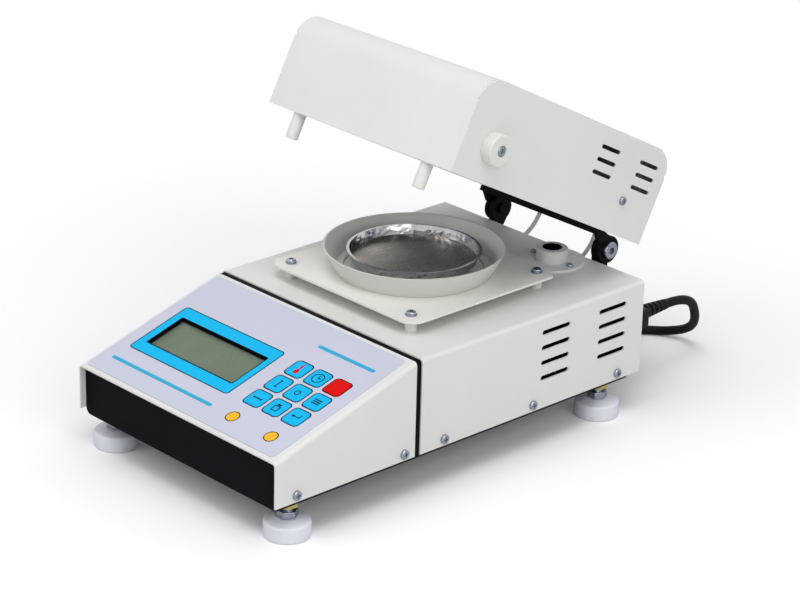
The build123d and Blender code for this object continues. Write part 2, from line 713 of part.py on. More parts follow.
def make_load_cell_mount():
    """The block that clamps the load cell's fixed end to the tray."""
    x0 = -CELL_LENGTH + CELL_END
    block = box((x0, x0 + CELL_MOUNT), (PAN_Y - CELL_WIDTH, PAN_Y + CELL_WIDTH), (TRAY_FLOOR, CELL_BOTTOM))
    return chamfer(block.edges().filter_by(Axis.Z), 3.0)


def make_level_housing():
    """The boss of the spirit level with its round flange and its spigot through the cover."""
    at = (LEVEL_X, LEVEL_Y)
    top = COVER_HEIGHT + LEVEL_HEIGHT
    housing = upright(LEVEL_FLANGE_R, (COVER_HEIGHT, COVER_HEIGHT + LEVEL_FLANGE), at)
    housing = fillet(housing.edges().group_by(Axis.Z)[-1], LEVEL_FLANGE / 3)
    housing += upright(LEVEL_BOSS / 2, (COVER_HEIGHT, top), at)
    housing = fillet(housing.edges().group_by(Axis.Z)[-1], 1.5)
    housing += upright(LEVEL_SPIGOT / 2, (COVER_HEIGHT - LEVEL_DEPTH, COVER_HEIGHT), at)
    housing -= upright(LEVEL_BORE / 2, (COVER_HEIGHT - LEVEL_DEPTH + SHEET, top + 1), at)
    for x in (-LEVEL_SCREW_X, LEVEL_SCREW_X):
        housing -= upright(LEVEL_SCREW / 2 + FIT, (COVER_HEIGHT - 1, top), (LEVEL_X + x, LEVEL_Y))
    return housing


def make_level_vial():
    """The round vial, with a domed top, deep in the boss."""
    z = (COVER_HEIGHT - LEVEL_DEPTH + SHEET, COVER_HEIGHT + LEVEL_HEIGHT - VIAL_DEEP)
    vial = upright(LEVEL_BORE / 2 - VIAL_CLEARANCE, z, (LEVEL_X, LEVEL_Y))
    return fillet(vial.edges().group_by(Axis.Z)[-1], 1.2)


def make_level_screws():
    """The two screws of the level's flange."""
    screw = pan_screw(LEVEL_SCREW_HEAD, 1.8, LEVEL_SCREW, LEVEL_FLANGE + 3 * SHEET)
    places = [(LEVEL_X + x, LEVEL_Y) for x in (-LEVEL_SCREW_X, LEVEL_SCREW_X)]
    return [Pos(*at, COVER_HEIGHT + LEVEL_FLANGE) * screw for at in places]


# Electronics and mains

def make_main_board():
    """The main board on four spacers, with its chips and a heat sink."""
    z = TRAY_FLOOR + SPACER
    x = (-HALF + MAIN_BOARD_INSET, -MAIN_BOARD_GAP)
    y = (INSIDE_Y, INSIDE_Y + MAIN_BOARD_DEPTH)
    board = box(x, y, (z, z + BOARD))
    for across_share, along_share, chip, height in MAIN_CHIPS:
        cx = x[0] + across_share * (x[1] - x[0])
        cy = y[0] + along_share * (y[1] - y[0])
        board += Pos(cx, cy, z + BOARD + height / 2) * Box(chip, chip, height)
    solids = [board]
    for sx in (x[0] + SPACER, x[1] - SPACER):
        for sy in (y[0] + SPACER, y[1] - SPACER):
            solids.append(upright(SPACER / 2, (TRAY_FLOOR, z), (sx, sy)))
    return solids


def make_transformer():
    """The mains transformer: laminated core, two coils and mounting feet."""
    x = (TRANSFORMER_X, TRANSFORMER_X + TRANSFORMER)
    y = (INSIDE_Y + TRANSFORMER_Y, INSIDE_Y + TRANSFORMER_Y + TRANSFORMER)
    stack = (y[0] + COIL_OVERHANG, y[1] - COIL_OVERHANG)
    floor = TRAY_FLOOR + TRANSFORMER_FOOT
    core = box(x, stack, (floor, TRAY_FLOOR + TRANSFORMER_HEIGHT))
    winding = (x[0] + COIL_OVERHANG, x[1] - COIL_OVERHANG)
    middle = (floor + CORE_YOKE, TRAY_FLOOR + TRANSFORMER_HEIGHT - CORE_YOKE)
    core -= box(winding, y, middle)
    coil = fillet(box(winding, y, middle).edges().filter_by(Axis.Z), COIL_CORNER)
    base = box((x[0] - TRANSFORMER_EAR, x[1] + TRANSFORMER_EAR), stack, (TRAY_FLOOR, floor))
    return [core + base, coil]


def inlet_body(grow=0.0):
    """The inlet's box behind the rear panel, grown by a clearance for the panel's opening."""
    half = NOSE_WIDTH / 2 + INLET_MARGIN - 1.5 + grow
    z = (INLET_Z - NOSE_HEIGHT / 2 - 2.5 - grow, INLET_Z + ROCKER_RISE + ROCKER_R + 2.5 + grow)
    return box((INLET_X - half, INLET_X + half), (REAR_FACE - INLET_DEPTH, REAR_FACE), z)


def make_mains_inlet():
    """The mains inlet and switch housing in one moulding, with three flat pins."""
    half = NOSE_WIDTH / 2 + INLET_MARGIN + 1.0
    z = (INLET_Z - NOSE_HEIGHT / 2 - INLET_MARGIN, INLET_Z + ROCKER_RISE + ROCKER_R + INLET_MARGIN)
    flange = box((INLET_X - half, INLET_X + half), (REAR_FACE, REAR_FACE + INLET_FLANGE), z)
    flange = fillet(flange.edges().filter_by(Axis.Y), 3.0)
    body = inlet_body() + flange
    front = REAR_FACE + INLET_FLANGE
    body -= along_y(nose_section(NOSE_CLEARANCE), (front - NOSE_LENGTH - 1, front + 1))
    well = rocker_place() * Rot(0, 90, 0) * Cylinder(ROCKER_R + ROCKER_GAP, ROCKER_WIDTH + 2 * ROCKER_GAP)
    body -= well
    for pin in pin_places():
        body += along_y(pin_section(pin), (REAR_FACE + INLET_FLANGE - NOSE_LENGTH - 1, REAR_FACE - 2))
    return body


def pin_places():
    """Centres of the inlet's three flat pins, as x and z; the middle one stands higher."""
    return [(INLET_X + side * PIN_SPACING, INLET_Z + (PIN_RISE if side == 0 else 0)) for side in (-1, 0, 1)]


def pin_section(at, grow=0.0):
    """A flat pin's outline, grown by a clearance for the connector's slot."""
    return Plane.XZ * Pos(*at) * Rectangle(PIN_THICK + 2 * grow, PIN_TALL + 2 * grow)


def nose_section(grow=0.0):
    """The connector nose's outline, with its two cut upper corners."""
    outline = Rectangle(NOSE_WIDTH + 2 * grow, NOSE_HEIGHT + 2 * grow)
    outline = chamfer(outline.vertices().group_by(Axis.Y)[-1], NOSE_CHAMFER)
    return Plane.XZ * Pos(INLET_X, INLET_Z) * outline


def rocker_place():
    """The rocker's pivot."""
    return Pos(INLET_X, REAR_FACE + INLET_FLANGE - ROCKER_DEEP, INLET_Z + ROCKER_RISE)


def make_mains_rocker():
    """The rocker: a drum with two flat faces that meet in a shallow valley."""
    drum = Rot(0, 90, 0) * Cylinder(ROCKER_R, ROCKER_WIDTH)
    valley = ROCKER_DEEP + 0.6
    tilt = tan(radians(2 * ROCKER_TILT))
    far = 2 * ROCKER_R
    edge, behind = valley + far * tilt, valley + far
    outline = ((valley, 0), (edge, far), (behind, far), (behind, -far), (edge, -far))
    cut = side_plate(outline, (-ROCKER_WIDTH, ROCKER_WIDTH))
    return rocker_place() * Rot(-ROCKER_TILT, 0, 0) * (drum - cut)


def make_power_connector():
    """The lead's connector: a nose with three slots, a grip and a ribbed strain relief."""
    at = (INLET_X, INLET_Z)
    start = CONNECTOR_FACE - NOSE_CLEARANCE - NOSE_LENGTH
    nose = along_y(nose_section(), (start, CONNECTOR_FACE))
    for pin in pin_places():
        nose -= along_y(pin_section(pin, NOSE_CLEARANCE), (start - 1, CONNECTOR_FACE - 2))
    shell = RectangleRounded(CONNECTOR_WIDTH, CONNECTOR_HEIGHT, CONNECTOR_CORNER)
    shell = Plane.XZ.offset(-CONNECTOR_FACE) * Pos(*at) * shell
    grip = extrude(shell, -CONNECTOR_LENGTH, taper=CONNECTOR_TAPER)
    end = CONNECTOR_FACE + CONNECTOR_LENGTH
    relief = Plane.XZ.offset(-end) * Pos(*at) * Circle(CORD * 0.85)
    boot = extrude(relief, -STRAIN_LENGTH, taper=STRAIN_TAPER)
    pitch = STRAIN_LENGTH / (STRAIN_RIBS + 1)
    for ring in range(1, STRAIN_RIBS + 1):
        y = (end + ring * pitch - STRAIN_GROOVE / 2, end + ring * pitch + STRAIN_GROOVE / 2)
        boot -= rearward(CORD, y, at) - rearward(CORD / 2 + FIT, y, at)
    return nose + grip + boot


CONNECTOR_FACE = REAR_FACE + INLET_FLANGE + NOSE_CLEARANCE
CORD_START = (INLET_X, CONNECTOR_FACE + CONNECTOR_LENGTH + STRAIN_LENGTH, INLET_Z)
CORD_FLOOR = -FLOOR_DROP + CORD / 2
COIL_CENTRE = (COIL_X, CORD_START[1] + COIL_BEHIND)
CORD_ROUTE = (
    CORD_START,
    (INLET_X, CORD_START[1] + 26, INLET_Z),
    (INLET_X - 10, CORD_START[1] + 47, INLET_Z - 18),
    (INLET_X - 36, CORD_START[1] + 60, CORD_FLOOR),
    (INLET_X - 78, CORD_START[1] + 66, CORD_FLOOR),
    (COIL_X, COIL_CENTRE[1] + COIL_R + CORD, CORD_FLOOR),
)

PLUG_AXIS = -FLOOR_DROP + PLUG_HEIGHT / 2
TAIL_Y = COIL_CENTRE[1] - COIL_R - CORD
TAIL_ROUTE = (
    (COIL_X, TAIL_Y, CORD_FLOOR),
    (COIL_X - 14, TAIL_Y, CORD_FLOOR + 2),
    (COIL_X - 30, TAIL_Y, PLUG_AXIS),
    (COIL_X - 44, TAIL_Y, PLUG_AXIS),
)


def cord_tube(route, size):
    """A round cord along straight runs that tangent arcs join, each arc as large as its runs allow."""
    points = [Vector(*p) for p in route]
    radii = []
    for a, b, c in zip(points, points[1:], points[2:]):
        turn = radians((b - a).get_angle(c - b))
        radii.append(0.45 * min((b - a).length, (c - b).length) / tan(turn / 2))
    print("cord radii", [round(r, 1) for r in radii])
    path = FilletPolyline(*points, radius=radii)
    section = Plane(origin=points[0], z_dir=points[1] - points[0]) * Circle(size / 2)
    tube = sweep(section, path=path)
    ratio = tube.volume / (pi * size * size / 4 * path.length)
    print("length", round(path.length, 1), "volume over section times length", round(ratio, 4))
    return tube


def make_cord_coil():
    """The closed outer shape of the coiled cord."""
    width, height = COIL_WIDTH * CORD, COIL_LAYERS * CORD
    section = Pos(COIL_R, height / 2) * RectangleRounded(width, height, CORD * 0.49)
    ring = revolve(Plane.XZ * section, Axis.Z)
    ring = Pos(*COIL_CENTRE, -FLOOR_DROP) * ring
    return ring - cord_tube(CORD_ROUTE, CORD + 2 * FIT) - cord_tube(TAIL_ROUTE, CORD + 2 * FIT)


# Lid, in its own frame: y = 0 at its rear face, -LID_DEPTH at its front, z = 0 at its bottom

def lid_outline(inset, corner):
    """The lid's side outline as a face across X, shrunk by inset, with two round upper corners."""
    size = Rectangle(LID_DEPTH - 2 * inset, LID_HEIGHT - inset)
    size = Pos(-LID_DEPTH / 2, (LID_HEIGHT - inset) / 2) * size
    return Plane.YZ * fillet(size.vertices().group_by(Axis.Y)[-1], corner - inset)


def across(face, x):
    """A YZ face extruded from x[0] to x[1]."""
    return Pos(x[0], 0, 0) * extrude(face, x[1] - x[0], dir=(1, 0, 0))


def make_lid_wrapper():
    """The sheet bent over the lid's front, top and rear."""
    half = LID_WIDTH / 2 - LID_SHEET
    wrapper = across(lid_outline(0, LID_CORNER), (-half, half))
    inner = across(lid_outline(LID_SHEET, LID_CORNER), (-LID_WIDTH, LID_WIDTH))
    wrapper -= inner + Pos(0, 0, -LID_HEIGHT / 2) * inner
    for x in LEAD_LID_X:
        wrapper -= rearward(LEAD / 2 + LEAD_CLEARANCE, (-2 * LID_SHEET, LID_SHEET), (x, LEAD_LID_H))
    return LID * wrapper


def make_lid_cheek(side):
    """A side plate of the lid: vents, knob and screw holes, reliefs at its bends and a folded foot."""
    outer, inner = LID_WIDTH / 2, LID_WIDTH / 2 - LID_SHEET
    cheek = across(lid_outline(0, CHEEK_CORNER), (inner, outer))
    reach = (inner - 1, outer + 1)
    for u in LID_VENT_COLUMNS:
        for row in range(LID_VENT_ROWS):
            at = (-u, LID_VENT_TOP - row * LID_VENT_PITCH)
            cheek -= slot_sideways(LID_VENT_LENGTH, LID_VENT_HEIGHT, reach, at)
    top, corner = LID_HEIGHT, LID_HEIGHT - LID_CORNER
    for y, z in ((-LID_DEPTH, corner), (-LID_DEPTH + LID_CORNER, top), (-LID_CORNER, top), (0, corner)):
        cheek -= sideways(CHEEK_RELIEF, reach, (y, z))
    cheek -= sideways(SCREW_SHANK / 2 + FIT, reach, (-LID_SCREW_U, LID_SCREW_H))
    cheek -= sideways(SCREW_SHANK / 2 + FIT, reach, (-KNOB_U, KNOB_H))
    foot_y = (-LID_DEPTH + CHEEK_CORNER, -CHEEK_CORNER)
    cheek += box((inner - CHEEK_FOOT, inner), foot_y, (2 * LID_SHEET, 3 * LID_SHEET))
    if side < 0:
        cheek = mirror(cheek, Plane.YZ)
    return LID * cheek


def make_lid_bottom_plate():
    """The plate under the lid with the round opening that the wind ring enters."""
    half = LID_WIDTH / 2 - LID_SHEET
    plate = box((-half, half), (-LID_DEPTH + LID_SHEET, -LID_SHEET), (LID_SHEET, 2 * LID_SHEET))
    plate -= upright(LID_HOLE_R, (0, 3 * LID_SHEET), (0, heater_y()))
    return LID * plate


def heater_y():
    """The opening's centre from the lid's rear face: above the pan when the lid is shut."""
    return PAN_Y - (BODY_DEPTH - LID_REAR_INSET)


def make_reflector():
    """The reflector over the opening: a spun bowl with a flange, and a flat crown let into it."""
    t, low = REFLECTOR_SHEET, 2 * LID_SHEET
    top = low + REFLECTOR_HEIGHT
    bulge = (REFLECTOR_TOP_R + REFLECTOR_BULGE, top - REFLECTOR_HEIGHT * 0.37)
    with BuildSketch(Plane.XZ) as section:
        with BuildLine():
            outer = Line((LID_HOLE_R + REFLECTOR_FLANGE, low), (LID_HOLE_R + REFLECTOR_FLANGE, low + t))
            ledge = Line(outer @ 1, (LID_HOLE_R + t, low + t))
            bowl = ThreePointArc(ledge @ 1, (bulge[0] + t, bulge[1]), (REFLECTOR_TOP_R, top))
            crown = Line(bowl @ 1, (0, top))
            down = Line(crown @ 1, (0, top - t))
            under = Line(down @ 1, (REFLECTOR_TOP_R - t, top - t))
            back = ThreePointArc(under @ 1, (bulge[0] - t, bulge[1] - t), (LID_HOLE_R, low))
            Line(back @ 1, outer @ 0)
        make_face()
    dome = revolve(section.sketch, Axis.Z)
    dome -= upright(SENSOR / 2 + FIT, (top - 2 * t, top + 1))
    for side in (-1, 1):
        dome -= upright(HOLDER_WIDTH / 4 + FIT, (top - 2 * t, top + 1), (side * (HEATER_R - HEATER_TUBE), 0))
    disc = upright(REFLECTOR_TOP_R - t, (top - 2 * t, top + 1))
    return [LID * Pos(0, heater_y(), 0) * sheet for sheet in (dome - disc, dome & disc)]


def make_heater():
    """The ring-shaped halogen tube under the reflector."""
    tube = Torus(HEATER_R, HEATER_TUBE / 2)
    return LID * Pos(0, heater_y(), HEATER_LIFT) * tube


def make_heater_holders():
    """Two ceramic holders that clip round the heater and hang from the reflector."""
    top = 2 * LID_SHEET + REFLECTOR_HEIGHT - REFLECTOR_SHEET
    solids = []
    for side in (-1, 1):
        x = side * HEATER_R
        reach = HEATER_TUBE / 2 + 3
        block = Pos(x, 0, (HEATER_LIFT - 2 + top) / 2) * Box(2 * reach, HOLDER_WIDTH, top - HEATER_LIFT + 2)
        block &= upright(REFLECTOR_TOP_R - REFLECTOR_SHEET, (0, top))
        block -= Pos(0, 0, HEATER_LIFT) * Torus(HEATER_R, HEATER_TUBE / 2 + HOLDER_CLEARANCE)
        block += upright(HOLDER_WIDTH / 4, (top - 1, top + 3), (side * (HEATER_R - HEATER_TUBE), 0))
        solids.append(LID * Pos(0, heater_y(), 0) * block)
    return solids


def make_temperature_sensor():
    """The sensor rod that hangs from the middle of the reflector, with its collar above it."""
    top = 2 * LID_SHEET + REFLECTOR_HEIGHT
    rod = upright(SENSOR / 2, (top - SENSOR_LENGTH, top + 6)) + upright(SENSOR, (top, top + 3))
    return LID * Pos(0, heater_y(), 0) * fillet(rod.edges().group_by(Axis.Z)[0], SENSOR / 2 - 0.5)


def make_lid_posts():
    """The two white posts on which the shut lid stands."""
    y = -LID_DEPTH + LID_SHEET + POST_CLEARANCE + POST / 2
    z = (-LID_GAP + POST_CLEARANCE, LID_SHEET)
    posts = []
    for x in (-POST_X, POST_X):
        post = upright(POST / 2, z, (x, y))
        posts.append(LID * fillet(post.edges().group_by(Axis.Z)[0], 1.0))
    return posts


def make_lid_knobs():
    """The white knob on each cheek, dished, with its screw hole."""
    x0 = LID_WIDTH / 2
    at = (-KNOB_U, KNOB_H)
    knob = sideways(KNOB / 2, (x0, x0 + KNOB_LENGTH), at)
    knob = fillet(knob.edges().group_by(Axis.X)[-1], 1.2)
    knob -= sideways(SCREW_SHANK / 2 + FIT, (x0 - 1, x0 + KNOB_LENGTH + 1), at)
    knob -= sideways(SCREW_HEAD / 2 + 0.5, (x0 + KNOB_LENGTH - SCREW_HEAD_HEIGHT, x0 + KNOB_LENGTH + 1), at)
    return [LID * solid for solid in both_sides(knob)]


def make_lid_screws():
    """The cheek screws and the knobs' centre screws."""
    side = LID_WIDTH / 2
    cheek = Rot(0, 90, 0) * pan_screw(CHEEK_SCREW_HEAD, CHEEK_SCREW_HEIGHT, SCREW_SHANK, SCREW_LENGTH)
    cheek = Pos(side, -LID_SCREW_U, LID_SCREW_H) * cheek
    knob = pan_screw(SCREW_HEAD, SCREW_HEAD_HEIGHT, SCREW_SHANK, KNOB_LENGTH + 2)
    knob = Pos(side + KNOB_LENGTH - SCREW_HEAD_HEIGHT, -KNOB_U, KNOB_H) * Rot(0, 90, 0) * knob
    return [LID * solid for solid in both_sides(cheek) + both_sides(knob)]


# Hinge

def ear_layers():
    """Start and end along X of the base ear, the washer between, the lid ear and the bolt's head."""
    base = (EAR_INNER_X, EAR_INNER_X + EAR)
    washer = (base[1], base[1] + EAR_WASHER)
    lid = (washer[1] + EAR_SIDE_GAP, washer[1] + EAR_SIDE_GAP + EAR)
    head = (lid[1] + EAR_SIDE_GAP, lid[1] + EAR_SIDE_GAP + BOLT_HEAD_HEIGHT)
    return base, washer, lid, head


def stop_place():
    """Centre of the stop pin, as y and z."""
    angle = radians(STOP_ANGLE)
    return PIVOT_Y + STOP_RADIUS * cos(angle), PIVOT_Z + STOP_RADIUS * sin(angle)


def make_hinge_brackets():
    """The two brackets on the rear panel, each with its bored ear and stop pin hole."""
    x = ear_layers()[0]
    front, top = BODY_DEPTH + EAR_COVER_GAP, PANEL_TOP - FIT
    back = PIVOT_Y + EAR_R * cos(radians(-13))
    outline = (
        (REAR_FACE, BRACKET_BOTTOM),
        (PIVOT_Y + 3, COVER_HEIGHT - 6),
        (back, PIVOT_Z - EAR_R * sin(radians(13))),
        (PIVOT_Y, PIVOT_Z),
        (front, PIVOT_Z),
        (front, top),
        (REAR_FACE, top),
    )
    ear = side_plate(outline, x) + sideways(EAR_R, x, (PIVOT_Y, PIVOT_Z))
    flange = box((x[1] - BRACKET_FLANGE, x[1]), (REAR_FACE, REAR_FACE + EAR), (BRACKET_BOTTOM, top))
    bracket = ear + flange
    bracket -= sideways(BOLT / 2 + BOLT_CLEARANCE, (x[0] - 1, x[1] + 1), (PIVOT_Y, PIVOT_Z))
    bracket -= sideways(STOP_PIN / 2 + BOLT_CLEARANCE, (x[0] - 1, x[1] + 1), stop_place())
    for at in bracket_screw_places():
        bracket -= rearward(SCREW_SHANK / 2 + FIT, (REAR_FACE - 1, REAR_FACE + EAR + 1), at)
    return both_sides(bracket)


def bracket_screw_places():
    """Centres of one bracket's two screws on the rear panel, as x and z."""
    x = EAR_INNER_X + EAR - BRACKET_FLANGE + 6
    return (x, BRACKET_BOTTOM + 7), (x, PANEL_TOP - 9)


def make_hinge_bolts():
    """The pivot bolts with washers and nuts, the stop pins and the brackets' screws."""
    base, washer, lid, head = ear_layers()
    pivot = (PIVOT_Y, PIVOT_Z)
    nut = 2.5
    bolt = sideways(BOLT / 2, (base[0] - nut, head[0]), pivot)
    crown = sideways(BOLT_HEAD / 2, head, pivot)
    bolt += fillet(crown.edges().group_by(Axis.X)[-1], 1.0)
    socket = Rot(0, 90, 0) * extrude(RegularPolygon(2.5, 6, major_radius=False), 2)
    bolt -= Pos(head[1] - 2, *pivot) * socket
    ring = sideways(EAR_R - 1, washer, pivot) - sideways(BOLT / 2 + BOLT_CLEARANCE, washer, pivot)
    pin = sideways(STOP_PIN / 2, (base[0], lid[1]), stop_place())
    solids = both_sides(bolt) + both_sides(ring) + both_sides(pin)
    screw = Rot(-90, 0, 0) * pan_screw(SCREW_HEAD, SCREW_HEAD_HEIGHT, SCREW_SHANK, EAR)
    for x, z in bracket_screw_places():
        solids += both_sides(Pos(x, REAR_FACE + EAR, z) * screw)
    return solids


def make_lid_hinge_bracket():
    """The lid's half of the hinge: a bar under the lid with two bored ears and stop heels."""
    x = ear_layers()[2]
    centre = (HINGE_BACK, -HINGE_DROP)
    shoulder = (HINGE_BACK + EAR_R * 0.9, -HINGE_DROP + EAR_R * 0.43)
    root = ((-WEB_DEPTH, 0), (-WEB_DEPTH, -LID_SHEET), (-0.6, 1.2 - HINGE_DROP))
    outline = (*root, centre, shoulder, (1.5, 0))
    ear = side_plate(outline, x) + sideways(EAR_R, x, centre)
    heel_start = STOP_ANGLE + LID_OPEN + degrees((STOP_PIN / 2 + STOP_GAP) / STOP_RADIUS)
    heel = side_plate([centre] + [
        (centre[0] + HEEL_R * cos(radians(a)), centre[1] + HEEL_R * sin(radians(a)))
        for a in (heel_start, heel_start + HEEL_ANGLE)
    ], x)
    ear += heel
    ear -= sideways(BOLT / 2 + BOLT_CLEARANCE, (x[0] - 1, x[1] + 1), centre)
    web = box((-x[1], x[1]), (-WEB_DEPTH, 0), (-WEB_DROP, 0))
    return LID * (web + ear + mirror(ear, Plane.YZ))


def lead_route(lid_x, panel_x):
    """A heater lead's route from the lid's rear wall round the hinge to the rear panel."""
    exit_point = LID * Location((lid_x, -LID_SHEET, LEAD_LID_H))
    out = LID * Location((lid_x, 9.0, LEAD_LID_H))
    y = PIVOT_Y + 14
    return (
        tuple(exit_point.position),
        tuple(out.position),
        (lid_x + (panel_x - lid_x) * 0.45, y, PIVOT_Z + 8),
        (lid_x + (panel_x - lid_x) * 0.85, y - 4, PIVOT_Z - 12),
        (panel_x, REAR_FACE + 12, LEAD_PANEL_Z),
        (panel_x, REAR_FACE - TRAY_SHEET, LEAD_PANEL_Z),
    )


def make_heater_leads():
    """The two flexible leads that cross the hinge."""
    return [cord_tube(lead_route(*ends), LEAD) for ends in zip(LEAD_LID_X, LEAD_PANEL_X)]


def make_lead_grommets():
    """The rubber grommets of the leads in the rear panel."""
    solids = []
    for x in LEAD_PANEL_X:
        at = (x, LEAD_PANEL_Z)
        grommet = rearward(GROMMET / 2, (REAR_FACE, REAR_FACE + GROMMET_OUT), at)
        grommet += rearward(GROMMET / 2 - 1.0 - FIT, (TRAY_REAR, REAR_FACE), at)
        solids.append(grommet - rearward(LEAD / 2 + LEAD_CLEARANCE, (TRAY_REAR - 1, REAR_FACE + 3), at))
    return solids


# Feet

def make_foot(at):
    """A levelling foot: nylon pad, steel stud and the hex nut that turns it."""
    low = -FLOOR_DROP
    shoulder = low + FOOT_PAD_HEIGHT
    top = shoulder + FOOT_CONE_HEIGHT
    r = FOOT_DIAMETER / 2
    outline = (
        (STUD / 2, low + 3),
        (r * 0.55, low + 3),
        (r * 0.62, low),
        (r - 1.5, low),
        (r, low + 1.5),
        (r, shoulder),
        (FOOT_CONE_TOP / 2, top),
        (STUD / 2, top),
    )
    pad = Pos(at[0], at[1], 0) * revolve(Plane.XZ * make_face(Polyline(*outline, close=True)), Axis.Z)
    stud = upright(STUD / 2, (low + 3, -TRAY_DROP + STUD_INSIDE), at)
    stud = chamfer(stud.edges().group_by(Axis.Z)[-1], 0.8)
    nut = hexagon(FOOT_NUT_FLATS, (top, top + FOOT_NUT_HEIGHT), at)
    nut -= upright(STUD / 2, (top - 1, top + FOOT_NUT_HEIGHT + 1), at)
    return [pad, stud, nut]


def make_lock_nuts():
    """The brass nut under the tray and the welded nut inside it, for each foot."""
    solids = []
    for _, at in foot_places():
        for z in ((-TRAY_DROP - LOCK_NUT_HEIGHT, -TRAY_DROP), (TRAY_FLOOR, TRAY_FLOOR + LOCK_NUT_HEIGHT)):
            bore = upright(STUD / 2 + STUD_CLEARANCE, (z[0] - 1, z[1] + 1), at)
            solids.append(hexagon(FOOT_NUT_FLATS, z, at) - bore)
    return solids


def make_mains_plug():
    """The plug at the cord's far end, lying on its side: a tapered grip with two round pins."""
    start = TAIL_ROUTE[-1]
    face = Plane(origin=start, x_dir=(0, 1, 0), z_dir=(-1, 0, 0))
    neck = RectangleRounded(PLUG_WIDTH, PLUG_NECK_HEIGHT, PLUG_CORNER)
    grip = extrude(face * neck, PLUG_LENGTH, taper=-PLUG_TAPER)
    end = start[0] - PLUG_LENGTH
    for side in (-1, 1):
        at = (TAIL_Y + side * PLUG_PIN_SPACING / 2, start[2])
        grip += sideways(PLUG_PIN / 2, (end - PLUG_PIN_LENGTH, end), at)
    return grip


def as_list(shape):
    """One solid or several, as a list of solids."""
    shapes = shape if isinstance(shape, (list, tuple)) else [shape]
    return [solid for s in shapes for solid in s.solids()]


def build_nodes():
    """Every node of the part, by name."""
    nodes = {
        "chassis_tray": make_chassis_tray(),
        "front_panel": make_front_panel(),
        "rear_panel": make_rear_panel(),
        "divider_frame": make_divider_frame(),
        "console_cover": make_console_cover(),
        "body_cover": make_body_cover(),
        "cover_screws": make_cover_screws(),
        "keypad_overlay": make_overlay(),
        "keypad_board": make_keypad_board(),
        "display_window": make_display_window(),
        "display_module": make_display_module(),
        "pan_plate": make_pan_plate(),
        "plate_standoffs": make_plate_standoffs(),
        "plate_screws": make_plate_screws(),
        "wind_ring": make_wind_ring(),
        "pan_support": make_pan_support(),
        "foil_dish": make_foil_dish(),
        "load_cell": make_load_cell(),
        "load_cell_mount": make_load_cell_mount(),
        "level_housing": make_level_housing(),
        "level_vial": make_level_vial(),
        "level_screws": make_level_screws(),
        "main_board": make_main_board(),
        "transformer": make_transformer(),
        "mains_inlet": make_mains_inlet(),
        "mains_rocker": make_mains_rocker(),
        "hinge_brackets": make_hinge_brackets(),
        "hinge_bolts": make_hinge_bolts(),
        "lid_hinge_bracket": make_lid_hinge_bracket(),
        "lid_wrapper": make_lid_wrapper(),
        "lid_cheek_left": make_lid_cheek(-1),
        "lid_cheek_right": make_lid_cheek(1),
        "lid_bottom_plate": make_lid_bottom_plate(),
        "reflector": make_reflector(),
        "heater": make_heater(),
        "heater_holders": make_heater_holders(),
        "temperature_sensor": make_temperature_sensor(),
        "lid_posts": make_lid_posts(),
        "lid_knobs": make_lid_knobs(),
        "lid_screws": make_lid_screws(),
        "heater_leads": make_heater_leads(),
        "lead_grommets": make_lead_grommets(),
        "lock_nuts": make_lock_nuts(),
        "power_connector": make_power_connector(),
        "power_cord": [cord_tube(CORD_ROUTE, CORD), cord_tube(TAIL_ROUTE, CORD)],
        "cord_coil": make_cord_coil(),
        "mains_plug": make_mains_plug(),
    }
    for row, column, x, b in key_places():
        nodes[f"key_{row + 1}_{column + 1}"] = make_key(x, b)
    for name, at in foot_places():
        nodes[f"foot_{name}"] = make_foot(at)
    return nodes


os.makedirs("parts", exist_ok=True)
for name, shape in build_nodes().items():
    node = Compound(children=[PLACE * solid for solid in as_list(shape)])
    node.label = name
    export_step(node, f"parts/{name}.step")
    size = node.bounding_box()
    print(name, len(node.solids()), [round(v, 1) for v in (*size.min, *size.max)])
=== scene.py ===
import json
import logging
import math
from dataclasses import dataclass, field
from enum import Enum
from typing import Any, Sequence, Union

import bmesh
import bpy
from mathutils import Matrix, Vector, noise


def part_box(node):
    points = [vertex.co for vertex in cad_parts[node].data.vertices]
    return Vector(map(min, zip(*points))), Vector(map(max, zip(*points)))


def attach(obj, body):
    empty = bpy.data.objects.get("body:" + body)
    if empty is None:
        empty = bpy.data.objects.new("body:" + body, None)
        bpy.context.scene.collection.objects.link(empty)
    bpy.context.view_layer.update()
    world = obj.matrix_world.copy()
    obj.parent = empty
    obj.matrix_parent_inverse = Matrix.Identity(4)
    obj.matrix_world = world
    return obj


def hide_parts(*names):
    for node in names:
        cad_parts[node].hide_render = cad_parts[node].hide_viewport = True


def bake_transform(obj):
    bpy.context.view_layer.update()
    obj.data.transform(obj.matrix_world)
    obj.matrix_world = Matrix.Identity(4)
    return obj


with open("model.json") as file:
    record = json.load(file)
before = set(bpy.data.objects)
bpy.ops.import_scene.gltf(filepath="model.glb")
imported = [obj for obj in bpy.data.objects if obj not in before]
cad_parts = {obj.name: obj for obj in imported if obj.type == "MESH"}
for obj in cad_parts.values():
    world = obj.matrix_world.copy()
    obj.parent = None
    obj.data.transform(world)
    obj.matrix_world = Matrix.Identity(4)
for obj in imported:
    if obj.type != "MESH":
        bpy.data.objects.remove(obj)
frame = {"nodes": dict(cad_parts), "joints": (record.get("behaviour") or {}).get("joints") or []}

LOG = logging.getLogger("moisture_analyzer")
MM = 0.001
Colour = tuple[float, float, float]
Point = tuple[float, float, float]
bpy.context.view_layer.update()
BEVEL_ANGLE = math.radians(40)


